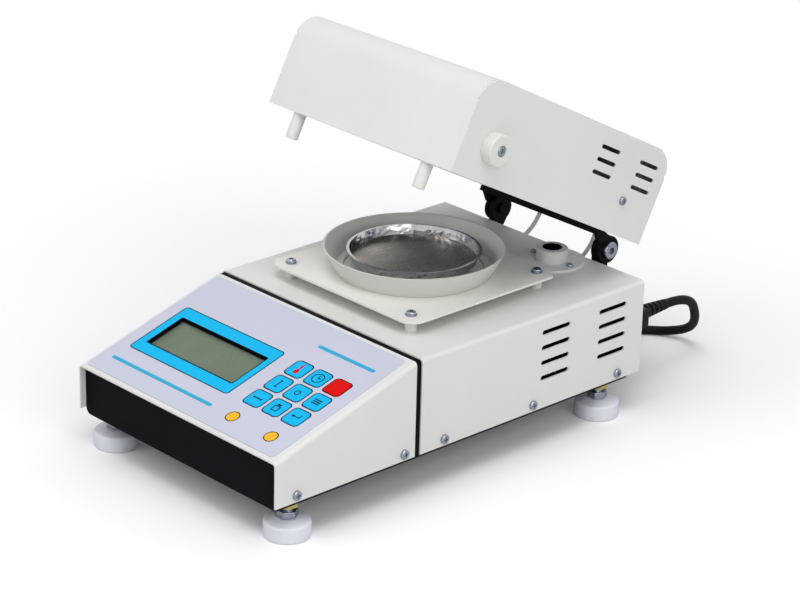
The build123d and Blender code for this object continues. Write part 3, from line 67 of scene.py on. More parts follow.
class Slot(str, Enum):
    """The record's material slots, listed for each piece."""

    WHITE_PAINT = "white_paint"
    BLACK_PAINT = "black_paint"
    FILM = "overlay_film"
    BLUE = "blue_key"
    RED = "red_key"
    PANE = "clear_pane"
    DISPLAY = "display_glass"
    BOARD = "board"
    ZINC = "zinc"
    BRASS_ZINC = "brass_zinc"
    NYLON = "nylon"
    ALUMINIUM = "aluminium"
    QUARTZ = "quartz"
    CERAMIC = "ceramic"
    PROBE = "probe_steel"
    BLACK_PLASTIC = "black_plastic"
    RUBBER = "rubber"
    SLEEVE = "sleeve"


def linear(red: int, green: int, blue: int) -> Colour:
    """A colour as seen on a screen, 0 to 255, as linear light."""

    def one(value: int) -> float:
        share = value / 255
        return share / 12.92 if share <= 0.04045 else ((share + 0.055) / 1.055) ** 2.4

    return (one(red), one(green), one(blue))


class Socket:
    """A node's output that can stand in a Python expression of numbers."""

    def __init__(self, graph: "Graph", output: bpy.types.NodeSocket) -> None:
        """Wraps an output.

        Args:
            graph: The graph that the output belongs to.
            output: The output itself.
        """
        self.graph = graph
        self.output = output

    def _math(self, operation: str, first: Any, second: Any) -> "Socket":
        """Adds a Math node with this operation on two values."""
        return self.graph.make("ShaderNodeMath", {"operation": operation}, {0: first, 1: second})

    def __add__(self, other: Any) -> "Socket":
        """Sum."""
        return self._math("ADD", self, other)

    __radd__ = __add__

    def __sub__(self, other: Any) -> "Socket":
        """Difference."""
        return self._math("SUBTRACT", self, other)

    def __rsub__(self, other: Any) -> "Socket":
        """Difference from a plain number."""
        return self._math("SUBTRACT", other, self)

    def __mul__(self, other: Any) -> "Socket":
        """Product."""
        return self._math("MULTIPLY", self, other)

    __rmul__ = __mul__

    def __gt__(self, other: Any) -> "Socket":
        """1 where this is larger, else 0."""
        return self._math("GREATER_THAN", self, other)


Value = Union[Socket, float, Sequence[float]]


class Graph:
    """A node tree that is built by expressions."""

    def __init__(self, tree: bpy.types.NodeTree) -> None:
        """Empties a tree and takes it over.

        Args:
            tree: The material's or the world's node tree.
        """
        self.tree = tree
        tree.nodes.clear()

    def make(self, kind: str, settings: dict[str, Any], inputs: dict[Any, Value], output: Any = 0) -> Any:
        """Adds a node.

        Args:
            kind: The node's type.
            settings: The node's own settings, and "stops" for a ramp's (place, colour) pairs.
            inputs: A value or a link for each named or numbered socket.
            output: The name or number of the output that is wanted, or None.

        Returns:
            The wanted output, or None.
        """
        node = self.tree.nodes.new(kind)
        for key, value in settings.items():
            if key == "stops":
                self._set_stops(node.color_ramp, value)
            else:
                setattr(node, key, value)
        for key, value in inputs.items():
            self.feed(node.inputs[key], value)
        return None if output is None else Socket(self, node.outputs[output])

    @staticmethod
    def _set_stops(ramp: bpy.types.ColorRamp, stops: Sequence[tuple[float, float]]) -> None:
        """Gives a ramp its grey stops."""
        while len(ramp.elements) < len(stops):
            ramp.elements.new(1.0)
        for element, (place, grey) in zip(ramp.elements, stops):
            element.position = place
            element.color = (grey, grey, grey, 1)

    def feed(self, target: bpy.types.NodeSocket, value: Value) -> None:
        """Links a socket, or sets its own value."""
        if isinstance(value, Socket):
            self.tree.links.new(value.output, target)
        elif isinstance(value, (int, float)):
            target.default_value = value
        else:
            target.default_value = (*value, 1) if len(target.default_value) == 4 and len(value) == 3 else value


class Surface(Graph):
    """A material's node tree, ending in one Principled shader."""

    def __init__(self, name: str) -> None:
        """Makes an empty material with a shader and an output.

        Args:
            name: The material's name.
        """
        self.material = bpy.data.materials.new(name)
        self.material.use_nodes = True
        super().__init__(self.material.node_tree)
        self.shader = self.tree.nodes.new("ShaderNodeBsdfPrincipled")
        output = self.tree.nodes.new("ShaderNodeOutputMaterial")
        self.tree.links.new(self.shader.outputs[0], output.inputs["Surface"])

    def set(self, **inputs: Value) -> None:
        """Feeds the shader's inputs, named with underscores for spaces."""
        for key, value in inputs.items():
            self.feed(self.shader.inputs[key.replace("_", " ")], value)

    def place(self, scale: Sequence[float] = (1, 1, 1)) -> Socket:
        """The piece's own coordinates in metres, stretched by scale."""
        where = self.make("ShaderNodeTexCoord", {}, {}, "Object")
        return self.make("ShaderNodeMapping", {}, {"Vector": where, "Scale": scale})

    def noise(self, scale: float, detail: float = 3, stretch: Sequence[float] = (1, 1, 1)) -> Socket:
        """Noise from 0 to 1 with this many cells to a metre."""
        inputs = {"Vector": self.place(stretch), "Scale": scale, "Detail": detail}
        return self.make("ShaderNodeTexNoise", {}, inputs, 0)

    def ramp(self, value: Socket, *stops: tuple[float, float]) -> Socket:
        """A value mapped through grey stops."""
        return self.make("ShaderNodeValToRGB", {"stops": stops}, {0: value})

    def mix(self, share: Value, first: Value, second: Value) -> Socket:
        """A colour between two others."""
        return self.make("ShaderNodeMix", {"data_type": "RGBA"}, {0: share, 6: first, 7: second}, 2)

    def bump(self, height: Socket, distance: float, strength: float = 1.0) -> None:
        """Feeds the shader's normal with a bump of this depth in metres."""
        inputs = {"Height": height, "Distance": distance, "Strength": strength}
        self.set(Normal=self.make("ShaderNodeBump", {}, inputs))


@dataclass(frozen=True)
class Paint:
    """Powder coat: an even colour with a fine orange peel and faint handling marks."""

    name: str
    colour: Colour
    shade: Colour
    roughness: float = 0.42
    gloss: float = 0.3
    peel: float = 900.0
    depth: float = 0.00006

    def build(self) -> bpy.types.Material:
        """The coat's material."""
        g = Surface(self.name)
        cloud = g.ramp(g.noise(14, 4), (0.35, 0), (0.75, 1))
        marks = g.ramp(g.noise(160, 6), (0.62, 0), (0.78, 1))
        g.set(Base_Color=g.mix(cloud * 0.5 + marks * 0.25, self.colour, self.shade))
        g.set(Roughness=self.roughness + (g.noise(45, 4) - 0.5) * 0.16 + marks * 0.08)
        g.bump(g.noise(self.peel, 2), self.depth, 0.5)
        g.set(Specular_IOR_Level=self.gloss)
        return g.material


@dataclass(frozen=True)
class Moulded:
    """Moulded or turned plastic: satin, with a fine texture."""

    name: str
    colour: Colour
    shade: Colour
    roughness: float = 0.45
    grain: float = 700.0
    depth: float = 0.00004
    glow: float = 0.0
    gloss: float = 0.4

    def build(self) -> bpy.types.Material:
        """The plastic's material."""
        g = Surface(self.name)
        cloud = g.noise(60, 3)
        g.set(Base_Color=g.mix(cloud, self.colour, self.shade))
        g.set(Roughness=self.roughness + (g.noise(220, 3) - 0.5) * 0.15)
        g.bump(g.noise(self.grain, 3), self.depth, 0.5)
        g.set(Specular_IOR_Level=self.gloss)
        if self.glow:
            g.set(Subsurface_Weight=self.glow, Subsurface_Radius=(0.004, 0.004, 0.004))
        return g.material


@dataclass(frozen=True)
class Metal:
    """Bare or plated metal with fine lines along one direction and a clouded skin; on the foils, whose colour and
    shade lie far apart, that mix is painted reflections.
    """

    name: str
    colour: Colour
    shade: Colour
    roughness: float = 0.3
    stretch: Point = (1, 1, 1)
    lines: float = 500.0
    depth: float = 0.00003

    def build(self) -> bpy.types.Material:
        """The metal's material."""
        g = Surface(self.name)
        lines = g.noise(self.lines, 4, self.stretch)
        cloud = g.noise(40, 4)
        # The cloud and lines mix colour towards shade; on the foils this mix is painted bright and dark
        # reflections.
        g.set(Base_Color=g.mix(cloud * 0.6 + lines * 0.4, self.colour, self.shade), Metallic=1.0)
        g.set(Roughness=self.roughness + (cloud - 0.5) * 0.2 + (lines - 0.5) * 0.2)
        g.bump(lines, self.depth, 0.4)
        return g.material


@dataclass(frozen=True)
class Print:
    """Printed film or ink on film: an even colour under a satin skin."""

    name: str
    colour: Colour
    shade: Colour
    roughness: float = 0.38
    gloss: float = 0.2

    def build(self) -> bpy.types.Material:
        """The film's material."""
        g = Surface(self.name)
        speckle = g.noise(2600, 2)
        g.set(Base_Color=g.mix(g.noise(18, 3) * 0.6 + speckle * 0.2, self.colour, self.shade))
        g.set(Roughness=self.roughness + (g.noise(90, 4) - 0.5) * 0.12)
        g.bump(speckle, 0.00002, 0.35)
        g.set(Specular_IOR_Level=self.gloss)
        return g.material


@dataclass(frozen=True)
class Display:
    """Unlit display glass: grey green, with a faint grid of dots."""

    name: str
    colour: Colour
    shade: Colour
    dots: float = 1900.0

    def build(self) -> bpy.types.Material:
        """The display's material."""
        g = Surface(self.name)
        checks = g.make("ShaderNodeTexChecker", {}, {"Vector": g.place(), "Scale": self.dots}, 1)
        haze = g.noise(22, 3)
        g.set(Base_Color=g.mix(haze * 0.7 + checks * 0.12, self.colour, self.shade))
        g.set(Roughness=0.2 + haze * 0.08, Specular_IOR_Level=0.2)
        return g.material


@dataclass(frozen=True)
class Clear:
    """Clear glass or acrylic, thin enough to see through without bending the view."""

    name: str
    colour: Colour
    alpha: float
    roughness: float = 0.06
    gloss: float = 0.5

    def build(self) -> bpy.types.Material:
        """The glass's material."""
        g = Surface(self.name)
        smear = g.ramp(g.noise(70, 5), (0.5, 0), (0.8, 1))
        g.set(Base_Color=self.colour, Roughness=self.roughness + smear * 0.1)
        g.set(Alpha=self.alpha + smear * 0.04, Specular_IOR_Level=self.gloss)
        return g.material


@dataclass(frozen=True)
class Board:
    """A circuit board: green mask with tracks and pads."""

    name: str
    mask: Colour
    track: Colour

    def build(self) -> bpy.types.Material:
        """The board's material."""
        g = Surface(self.name)
        inputs = {"Vector": g.place((1, 1, 0.001)), "Scale": 260.0}
        cells = g.make("ShaderNodeTexVoronoi", {"distance": "MANHATTAN", "feature": "F1"}, inputs, 0)
        tracks = g.ramp(cells, (0.30, 0), (0.33, 1), (0.40, 1), (0.43, 0))
        g.set(Base_Color=g.mix(tracks, self.mask, self.track), Roughness=0.35 + tracks * 0.1)
        g.bump(tracks, 0.00004, 0.5)
        return g.material


@dataclass(frozen=True)
class Sleeve:
    """A braided glass sleeve with a coloured tracer thread, patterned along its own length."""

    name: str
    colour: Colour
    tracer: Colour
    turns: float = 3.0

    def build(self) -> bpy.types.Material:
        """The sleeve's material."""
        g = Surface(self.name)
        where = g.make("ShaderNodeUVMap", {}, {}, 0)
        parts = g.tree.nodes.new("ShaderNodeSeparateXYZ")
        g.feed(parts.inputs[0], where)
        along, around = Socket(g, parts.outputs[0]), Socket(g, parts.outputs[1])
        phase = around + along * self.turns
        stripe = g.make("ShaderNodeMath", {"operation": "FRACT"}, {0: phase}) > 0.76
        weave = g.make("ShaderNodeMath", {"operation": "SINE"}, {0: (around * 6 + along * 40) * math.tau})
        g.set(Base_Color=g.mix(stripe, self.colour, self.tracer), Roughness=0.8 + weave * 0.06)
        g.bump(weave, 0.0001, 0.5)
        return g.material


class Finish(Enum):
    """Every finish of the object."""

    COVER = Paint("cover_paint", linear(226, 226, 223), linear(217, 217, 214))
    PLATE = Paint("plate_paint", linear(234, 232, 226), linear(225, 223, 216), 0.38)
    RING = Paint("ring_paint", linear(214, 215, 209), linear(203, 204, 198), 0.34)
    BLACK = Paint("black_paint", linear(13, 13, 18), linear(21, 21, 27), 0.46, 0.03)
    HINGE = Paint("hinge_paint", linear(12, 12, 14), linear(20, 20, 22), 0.36, 0.05)
    FILM = Print("overlay_film", linear(204, 206, 222), linear(198, 200, 217))
    BLUE = Print("blue_print", linear(12, 188, 242), linear(8, 180, 236), 0.4, 0.1)
    DEEP_BLUE = Print("line_blue", linear(48, 172, 214), linear(40, 162, 206))
    RED = Print("red_print", linear(228, 10, 10), linear(212, 6, 8), 0.4, 0.06)
    YELLOW = Print("yellow_print", linear(250, 190, 30), linear(242, 180, 24))
    INK = Print("black_ink", linear(8, 8, 12), linear(14, 14, 18), 0.45, 0.03)
    LCD = Display("display_green", linear(84, 104, 76), linear(76, 96, 68))
    PANE = Clear("clear_pane", linear(232, 236, 230), 0.10)
    BUBBLE = Clear("level_glass", linear(40, 36, 27), 0.95, 0.12, 0.08)
    QUARTZ = Clear("quartz_tube", linear(236, 236, 240), 0.45, 0.05)
    NYLON = Moulded("white_nylon", linear(232, 233, 240), linear(222, 224, 234), 0.42, 500.0, 0.00005, 0.12)
    POST = Moulded("post_nylon", linear(228, 227, 222), linear(216, 216, 212), 0.45, 500.0, 0.00005, 0.08)
    CERAMIC = Moulded("ceramic", linear(232, 229, 220), linear(220, 216, 205), 0.6)
    PLASTIC = Moulded("black_plastic", linear(18, 18, 20), linear(27, 27, 30), 0.48, 900.0, 0.00008, 0.0, 0.12)
    RUBBER = Moulded("cord_rubber", linear(16, 16, 18), linear(25, 25, 27), 0.55, 1200.0, 0.00005, 0.0, 0.1)
    ZINC = Metal("zinc_plating", linear(178, 184, 194), linear(128, 136, 150), 0.26)
    BRASS_ZINC = Metal("yellow_plating", linear(206, 190, 120), linear(170, 160, 100), 0.3)
    ALUMINIUM = Metal("aluminium", linear(206, 207, 208), linear(180, 182, 184), 0.34, (1, 12, 1))
    # The foil's wide spread from bright to dark is painted reflections: patches that stand in for what the
    # crinkled foil mirrors.
    FOIL_PAINTED_REFLECTIONS = Metal("foil", linear(226, 226, 228), linear(96, 97, 100), 0.16, (1, 1, 1), 260.0, 0.00025)
    # The dish floor: the same foil made darker, a painted dark reflection, with brushed lines.
    DISH_FLOOR_PAINTED_REFLECTION = Metal("dish_floor_painted_reflection", linear(184, 179, 170), linear(88, 83, 75), 0.28, (14, 0.6, 1), 110.0, 0.00003)
    REFLECTOR = Metal("reflector_sheet", linear(216, 217, 218), linear(196, 197, 200), 0.18)
    PROBE = Metal("probe_steel", linear(200, 200, 202), linear(170, 170, 174), 0.2)
    BOARD = Board("circuit_board", linear(12, 84, 42), linear(30, 120, 64))
    SLEEVE = Sleeve("lead_sleeve", linear(244, 244, 238), linear(24, 96, 66), 1.0)


def linked(name: str, data: Any) -> bpy.types.Object:
    """A new object with this data, in the scene."""
    thing = bpy.data.objects.new(name, data)
    bpy.context.scene.collection.objects.link(thing)
    return thing


def solid_mesh(name: str, bm: bmesh.types.BMesh) -> bpy.types.Mesh:
    """A new mesh with this shape, which is freed."""
    mesh = bpy.data.meshes.new(name)
    bm.to_mesh(mesh)
    bm.free()
    return mesh


def evaluated_mesh(thing: bpy.types.Object) -> bpy.types.Mesh:
    """A new mesh of an object with its modifiers or its curve worked out."""
    bpy.context.view_layer.update()
    return bpy.data.meshes.new_from_object(thing.evaluated_get(bpy.context.evaluated_depsgraph_get()))


def centred(node: str) -> tuple[Vector, Vector, Vector]:
    """A frame node's low corner, high corner and centre at rest."""
    low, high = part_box(node)
    return low, high, (low + high) / 2


class Workshop:
    """Makes objects out of bmesh shapes, gives them their finish and puts them on their body."""

    def __init__(self) -> None:
        """Starts with no material made."""
        self.materials: dict[Finish, bpy.types.Material] = {}

    def material(self, finish: Finish) -> bpy.types.Material:
        """The finish's material, made once."""
        if finish not in self.materials:
            self.materials[finish] = finish.value.build()
        return self.materials[finish]

    def place(
        self, name: str, bm: bmesh.types.BMesh, finish: Finish, body: str, slot: Slot,
        nodes: Sequence[str] = (), bevel: float = 0.0, crease: float = 32.0,
    ) -> bpy.types.Object:
        """Turns a shape into a dressed piece on its body.

        Args:
            name: The piece's name.
            bm: The shape, in metres, where it lies. It is freed.
            finish: What it is made of.
            body: The body that it rides on.
            slot: The record's slot for it. Not used.
            nodes: The frame's nodes that it stands for.
            bevel: The width of its rounded edges in millimetres, or 0.
            crease: The angle in degrees past which an edge stays sharp.

        Returns:
            The new object.
        """
        for edge in bm.edges:
            edge.smooth = len(edge.link_faces) == 2 and edge.calc_face_angle(0) < math.radians(crease)
        mesh = solid_mesh(name, bm)
        mesh.polygons.foreach_set("use_smooth", [True] * len(mesh.polygons))
        mesh.materials.append(self.material(finish))
        piece = linked(name, mesh)
        if bevel:
            rounding = piece.modifiers.new("edges", "BEVEL")
            rounding.width = bevel * MM
            rounding.segments = 2
            rounding.limit_method = "ANGLE"
            rounding.angle_limit = BEVEL_ANGLE
            rounding.harden_normals = True
        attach(piece, body)
        if nodes:
            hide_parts(*nodes)
        LOG.info("%s: %d faces on %s", name, len(mesh.polygons), body)
        return piece

    def carried(self, node: str, finish: Finish, body: str, slot: Slot, bevel: float) -> bpy.types.Object:
        """A clean copy of a frame node with rounded edges, in its place.

        Args:
            node: The frame's node.
            finish: What it is made of.
            body: The body that it rides on.
            slot: The record's slot for it, handed on to place.
            bevel: The width of its rounded edges in millimetres.

        Returns:
            The new object.
        """
        bm = bmesh.new()
        bm.from_mesh(frame["nodes"][node].data)
        bmesh.ops.remove_doubles(bm, verts=bm.verts, dist=0.003 * MM)
        bmesh.ops.dissolve_limit(bm, angle_limit=math.radians(0.5), verts=bm.verts, edges=bm.edges)
        return self.place(f"{node}_piece", bm, finish, body, slot, (node,), bevel)

    def carry(self, body: str, *rows: tuple[str, Finish, Slot, float]) -> None:
        """Clean copies of several nodes of a body, each given as node, finish, slot and bevel."""
        for node, finish, slot, bevel in rows:
            self.carried(node, finish, body, slot, bevel)

    def dress(self, node: str, finish: Finish) -> None:
        """Gives a frame node a better material and keeps its mesh."""
        slots = frame["nodes"][node].data.materials
        slots.clear()
        slots.append(self.material(finish))
        LOG.info("%s: frame node dressed as %s", node, finish.name)


def spun(profile: Sequence[tuple[float, float]], at: Sequence[float], steps: int = 96) -> bmesh.types.BMesh:
    """A turned shape on an upright axis.

    Args:
        profile: The closed outline as (radius, height) in metres.
        at: The axis's foot.
        steps: How many steps the turn has.

    Returns:
        The closed shape.
    """
    bm = bmesh.new()
    ring = [bm.verts.new((r, 0, z)) for r, z in profile]
    edges = [bm.edges.new(pair) for pair in zip(ring, ring[1:] + ring[:1])]
    bmesh.ops.spin(
        bm, geom=ring + edges, cent=(0, 0, 0), axis=(0, 0, 1), angle=math.tau, steps=steps, use_merge=True,
    )
    bmesh.ops.remove_doubles(bm, verts=bm.verts, dist=0.005 * MM)
    bmesh.ops.dissolve_degenerate(bm, edges=bm.edges, dist=0.002 * MM)
    bmesh.ops.recalc_face_normals(bm, faces=bm.faces)
    bmesh.ops.translate(bm, verts=bm.verts, vec=Vector(at))
    return bm


def rounded_profile(corners: Sequence[tuple[float, float, float]], steps: int = 5) -> list[tuple[float, float]]:
    """An outline whose corners are arcs.

    Args:
        corners: Each corner as (radius, height, rounding) in metres.
        steps: How many steps each arc has.

    Returns:
        The outline's points.
    """
    points: list[tuple[float, float]] = []
    for i, (x, y, rounding) in enumerate(corners):
        here = Vector((x, y))
        if rounding <= 0:
            points.append((x, y))
            continue
        before = (Vector(corners[i - 1][:2]) - here).normalized()
        after = (Vector(corners[(i + 1) % len(corners)][:2]) - here).normalized()
        for k in range(steps + 1):
            t = k / steps
            bent = here + before * rounding * (1 - t) ** 2 + after * rounding * t ** 2
            points.append((bent.x, bent.y))
    return points


class Flat:
    """Thin printed or cut shapes, drawn in a plane and then raised."""

    def __init__(self) -> None:
        """Starts with an empty sheet."""
        self.bm = bmesh.new()

    def _finish_face(self, before: set, ring: float) -> None:
        """Turns the newest face into a ring of this width, if it is more than 0."""
        if ring <= 0:
            return
        fresh = [f for f in self.bm.faces if f not in before]
        bmesh.ops.inset_region(self.bm, faces=fresh, thickness=ring, use_even_offset=True, use_boundary=True)
        bmesh.ops.delete(self.bm, geom=fresh, context="FACES")

    def bar(
        self, centre: Sequence[float], size: Sequence[float], radius: float = 0.0, ring: float = 0.0,
    ) -> "Flat":
        """Adds a rounded rectangle, in millimetres, or its rim.

        Args:
            centre: Its centre.
            size: Its width and height.
            radius: Its corners' radius.
            ring: The width of its rim, or 0 for a full one.

        Returns:
            The sheet itself.
        """
        before = set(self.bm.faces)
        made = bmesh.ops.create_grid(self.bm, x_segments=1, y_segments=1, size=0.5)["verts"]
        bmesh.ops.scale(self.bm, verts=made, vec=(size[0] * MM, size[1] * MM, 1))
        bmesh.ops.translate(self.bm, verts=made, vec=(centre[0] * MM, centre[1] * MM, 0))
        if radius > 0:
            bmesh.ops.bevel(
                self.bm, geom=made, offset=radius * MM, affect="VERTICES", segments=6, profile=0.5, material=-1,
            )
        self._finish_face(before, ring * MM)
        return self

    def disc(
        self, centre: Sequence[float], radius: float, ring: float = 0.0, segments: int = 40, turn: float = 0.0,
        stretch: Sequence[float] = (1, 1),
    ) -> "Flat":
        """Adds a regular polygon or disc, in millimetres, or its rim.

        Args:
            centre: Its centre.
            radius: Its outer radius.
            ring: The width of its rim, or 0 for a full one.
            segments: How many sides it has.
            turn: How far it is turned, in degrees.
            stretch: Its scale across and up.

        Returns:
            The sheet itself.
        """
        before = set(self.bm.faces)
        spin = Matrix.Rotation(math.radians(turn), 4, "Z")
        made = bmesh.ops.create_circle(self.bm, cap_ends=True, segments=segments, radius=radius * MM, matrix=spin)
        bmesh.ops.scale(self.bm, verts=made["verts"], vec=(stretch[0], stretch[1], 1))
        bmesh.ops.translate(self.bm, verts=made["verts"], vec=(centre[0] * MM, centre[1] * MM, 0))
        self._finish_face(before, ring * MM)
        return self

    def raised(self, place: Matrix, low: float, high: float) -> bmesh.types.BMesh:
        """The sheet as solid shapes between two heights, in millimetres, over a plane.

        Args:
            place: Where the plane lies.
            low: The underside's height.
            high: The top's height.

        Returns:
            The closed shapes.
        """
        bottom = self.bm.faces[:]
        made = bmesh.ops.extrude_face_region(self.bm, geom=bottom, use_keep_orig=True)["geom"]
        top = [v for v in made if isinstance(v, bmesh.types.BMVert)]
        bmesh.ops.translate(self.bm, verts=top, vec=(0, 0, (high - low) * MM))
        bmesh.ops.recalc_face_normals(self.bm, faces=self.bm.faces)
        bmesh.ops.translate(self.bm, verts=self.bm.verts, vec=(0, 0, low * MM))
        bmesh.ops.transform(self.bm, matrix=place, verts=self.bm.verts)
        return self.bm


# Each key's sign in millimetres about the key's centre: what is drawn, where, and its size, then a bar's
# corner and rim, or a disc's rim, sides, turn and stretch. The red key has none.
SIGNS: dict[str, tuple[tuple[Any, ...], ...]] = {
    "key_1_1": ((Flat.bar, (0, 1.8), (1.7, 7.6), 0.7), (Flat.disc, (0, -2.9), 2.2)),
    "key_1_2": (
        (Flat.disc, (0, 0), 4.9, 0.75), (Flat.bar, (0, 1.5), (0.75, 3.4)), (Flat.bar, (1.3, 0), (3.0, 0.75)),
    ),
    "key_2_1": (*((Flat.bar, (0, rise), (2.2, 0.8)) for rise in (-3.6, 3.6)), (Flat.bar, (0, 0), (0.95, 7.0))),
    "key_2_2": ((Flat.disc, (0, 0), 2.5, 0.8),),
    "key_2_3": tuple((Flat.bar, (0, rise), (7.4, 1.0), 0.3) for rise in (-2.0, 0.0, 2.0)),
    "key_3_1": (*((Flat.bar, (step, 0), (0.8, 2.2)) for step in (-3.6, 3.6)), (Flat.bar, (0, 0), (7.0, 0.95))),
    "key_3_2": ((Flat.bar, (0, -1.0), (5.8, 5.6), 0.8, 0.8), (Flat.bar, (0, 3.0), (3.4, 1.6), 0.4)),
    "key_3_3": (
        (Flat.bar, (3.0, 1.6), (0.8, 3.6), 0.2), (Flat.bar, (0.4, 0), (5.6, 0.8), 0.2),
        (Flat.disc, (-2.8, 0), 1.7, 0.0, 3, 90, (1, 0.9)),
    ),
}


def middle(node: str) -> Vector:
    """The centre of a frame node's box at rest."""
    return centred(node)[2]


def joint(name: str) -> dict[str, Any]:
    """The frame's joint of that name."""
    return next(j for j in frame["joints"] if j["name"] == name)


@dataclass
class Console:
    """The sloping console: its cover, printed sheet, display and keys."""

    shop: Workshop
    sheet_front: float = 3.5
    sheet_thickness: float = 0.8
    cover: float = 1.2
    pane: float = 1.5
    ink: float = 0.06
    window_x: tuple[float, float] = (-81.5, 10.5)
    window_b: tuple[float, float] = (44.3, 77.5)
    frame_x: tuple[float, float] = (-89.5, 17.4)
    frame_b: tuple[float, float] = (33.4, 88.8)
    frame_corner: float = 3.0
    outline: float = 0.8
    window_corner: float = 1.0
    outline_gap: float = 0.7
    # The width of the black sheet on the window's walls, which is painted shade, and how far its top stays below
    # the sheet.
    shade_liner: float = 0.3
    shade_liner_drop: float = 0.03
    mask: float = 1.3
    mask_thickness: float = 0.1
    face_play: float = 0.2
    face_thickness: float = 0.04
    red_key: str = "key_1_3"
    red_sign: str = "key_1_1"
    key: float = 15.2
    key_corner: float = 3.0
    key_proud: float = 0.3
    key_gap: float = 0.2
    key_outline: float = 0.75
    lines: tuple[tuple[float, float, float], ...] = ((-90.2, 17.6, 19.3), (31.4, 88.2, 106.8))
    line_width: float = 3.1
    marks: tuple[tuple[float, float], ...] = ((40.2, 19.0), (80.2, 18.3))
    mark: float = 4.6
    plane: Matrix = field(init=False)

    def __post_init__(self) -> None:
        """Finds the console's plane from the printed sheet in the frame."""
        normal = -Vector(joint("key_1_1_press")["axis"]).normalized()
        across = Vector((1, 0, 0))
        up = normal.cross(across)
        corners = [v.co for v in frame["nodes"]["keypad_overlay"].data.vertices]
        low = min(c.dot(up) for c in corners) - self.sheet_front * MM
        top = max(c.dot(normal) for c in corners)
        origin = up * low + normal * top
        self.plane = Matrix((across, up, normal)).transposed().to_4x4()
        self.plane.translation = origin

    def ink_piece(self, name: str, flat: Flat, finish: Finish, slot: Slot, layer: int = 0) -> None:
        """Raises printed shapes just over the sheet."""
        low = layer * self.ink
        self.shop.place(name, flat.raised(self.plane, low, low + self.ink), finish, "base", slot)

    def build(self) -> None:
        """Builds the whole console."""
        shop = self.shop
        shop.carried("console_cover", Finish.COVER, "base", Slot.WHITE_PAINT, 0.3)
        shop.carried("keypad_overlay", Finish.FILM, "base", Slot.FILM, 0.1)
        shop.dress("keypad_board", Finish.BOARD)
        shop.dress("display_module", Finish.PLASTIC)
        shop.dress("display_window", Finish.PANE)
        self.display()
        self.prints()
        self.keys()

    def display(self) -> None:
        """The blue window frame, its outlines, a black sheet of painted shade along the window's walls, the dark
        mask (a printed black frame that also stands in for shade) and the display's face.
        """
        fx, fb, wx, wb = self.frame_x, self.frame_b, self.window_x, self.window_b
        centre = ((fx[0] + fx[1]) / 2, (fb[0] + fb[1]) / 2)
        size = (fx[1] - fx[0], fb[1] - fb[0])
        window = ((wx[0] + wx[1]) / 2, (wb[0] + wb[1]) / 2)
        opening = (wx[1] - wx[0], wb[1] - wb[0])
        border = Flat().bar(centre, size, self.frame_corner)
        plate = border.raised(self.plane, 0, self.ink)
        hole = Flat().bar(window, opening, self.window_corner).raised(self.plane, -1, 1)
        piece = self.shop.place("window_frame_print", plate, Finish.BLUE, "base", Slot.BLUE)
        self.cut(piece, hole)
        rims = Flat().bar(centre, size, self.frame_corner, self.outline)
        rims.bar(window, [side + 2 * self.outline_gap for side in opening], 1.2, self.outline)
        self.ink_piece("window_outline_print", rims, Finish.INK, Slot.BLACK_PAINT, 1)
        pane_top = -self.sheet_thickness - self.cover
        # A black sheet along the window's walls: painted shade in the recess.
        shade_liner = Flat().bar(window, opening, self.window_corner, self.shade_liner)
        shade_liner = shade_liner.raised(self.plane, pane_top, -self.shade_liner_drop)
        self.shop.place("window_painted_shade", shade_liner, Finish.INK, "base", Slot.BLACK_PAINT)
        # A black frame just inside the window: partly a printed frame, partly painted shade along the recess.
        mask = Flat().bar(window, opening, 0.9, self.mask)
        mask = mask.raised(self.plane, pane_top, pane_top + self.mask_thickness)
        self.shop.place("display_mask_and_painted_shade", mask, Finish.INK, "base", Slot.BLACK_PAINT)
        face = Flat().bar(window, [side - self.face_play for side in opening], 0.8)
        pane_foot, half = pane_top - self.pane, self.face_thickness / 2
        glass = face.raised(self.plane, pane_foot - half, pane_foot + half)
        self.shop.place("display_face", glass, Finish.LCD, "base", Slot.DISPLAY)

    def cut(self, piece: bpy.types.Object, hole: bmesh.types.BMesh) -> None:
        """Cuts a hole through a piece and applies the cut."""
        tool = linked("hole", solid_mesh("hole", hole))
        cutter = piece.modifiers.new("hole", "BOOLEAN")
        cutter.object = tool
        cutter.solver = "EXACT"
        result = evaluated_mesh(piece)
        piece.modifiers.clear()
        piece.data = result
        bpy.data.objects.remove(tool)

    def prints(self) -> None:
        """The two lines and the two plain round marks."""
        lines = Flat()
        for left, right, b in self.lines:
            lines.bar(((left + right) / 2, b), (right - left, self.line_width), self.line_width * 0.45)
        self.ink_piece("line_prints", lines, Finish.DEEP_BLUE, Slot.BLUE)
        marks = Flat()
        outlines = Flat()
        for centre in self.marks:
            marks.disc(centre, self.mark)
            outlines.disc(centre, self.mark + self.key_outline, self.key_outline)
        self.ink_piece("mark_prints", marks, Finish.YELLOW, Slot.BLUE)
        self.ink_piece("mark_outline_prints", outlines, Finish.INK, Slot.BLACK_PAINT)

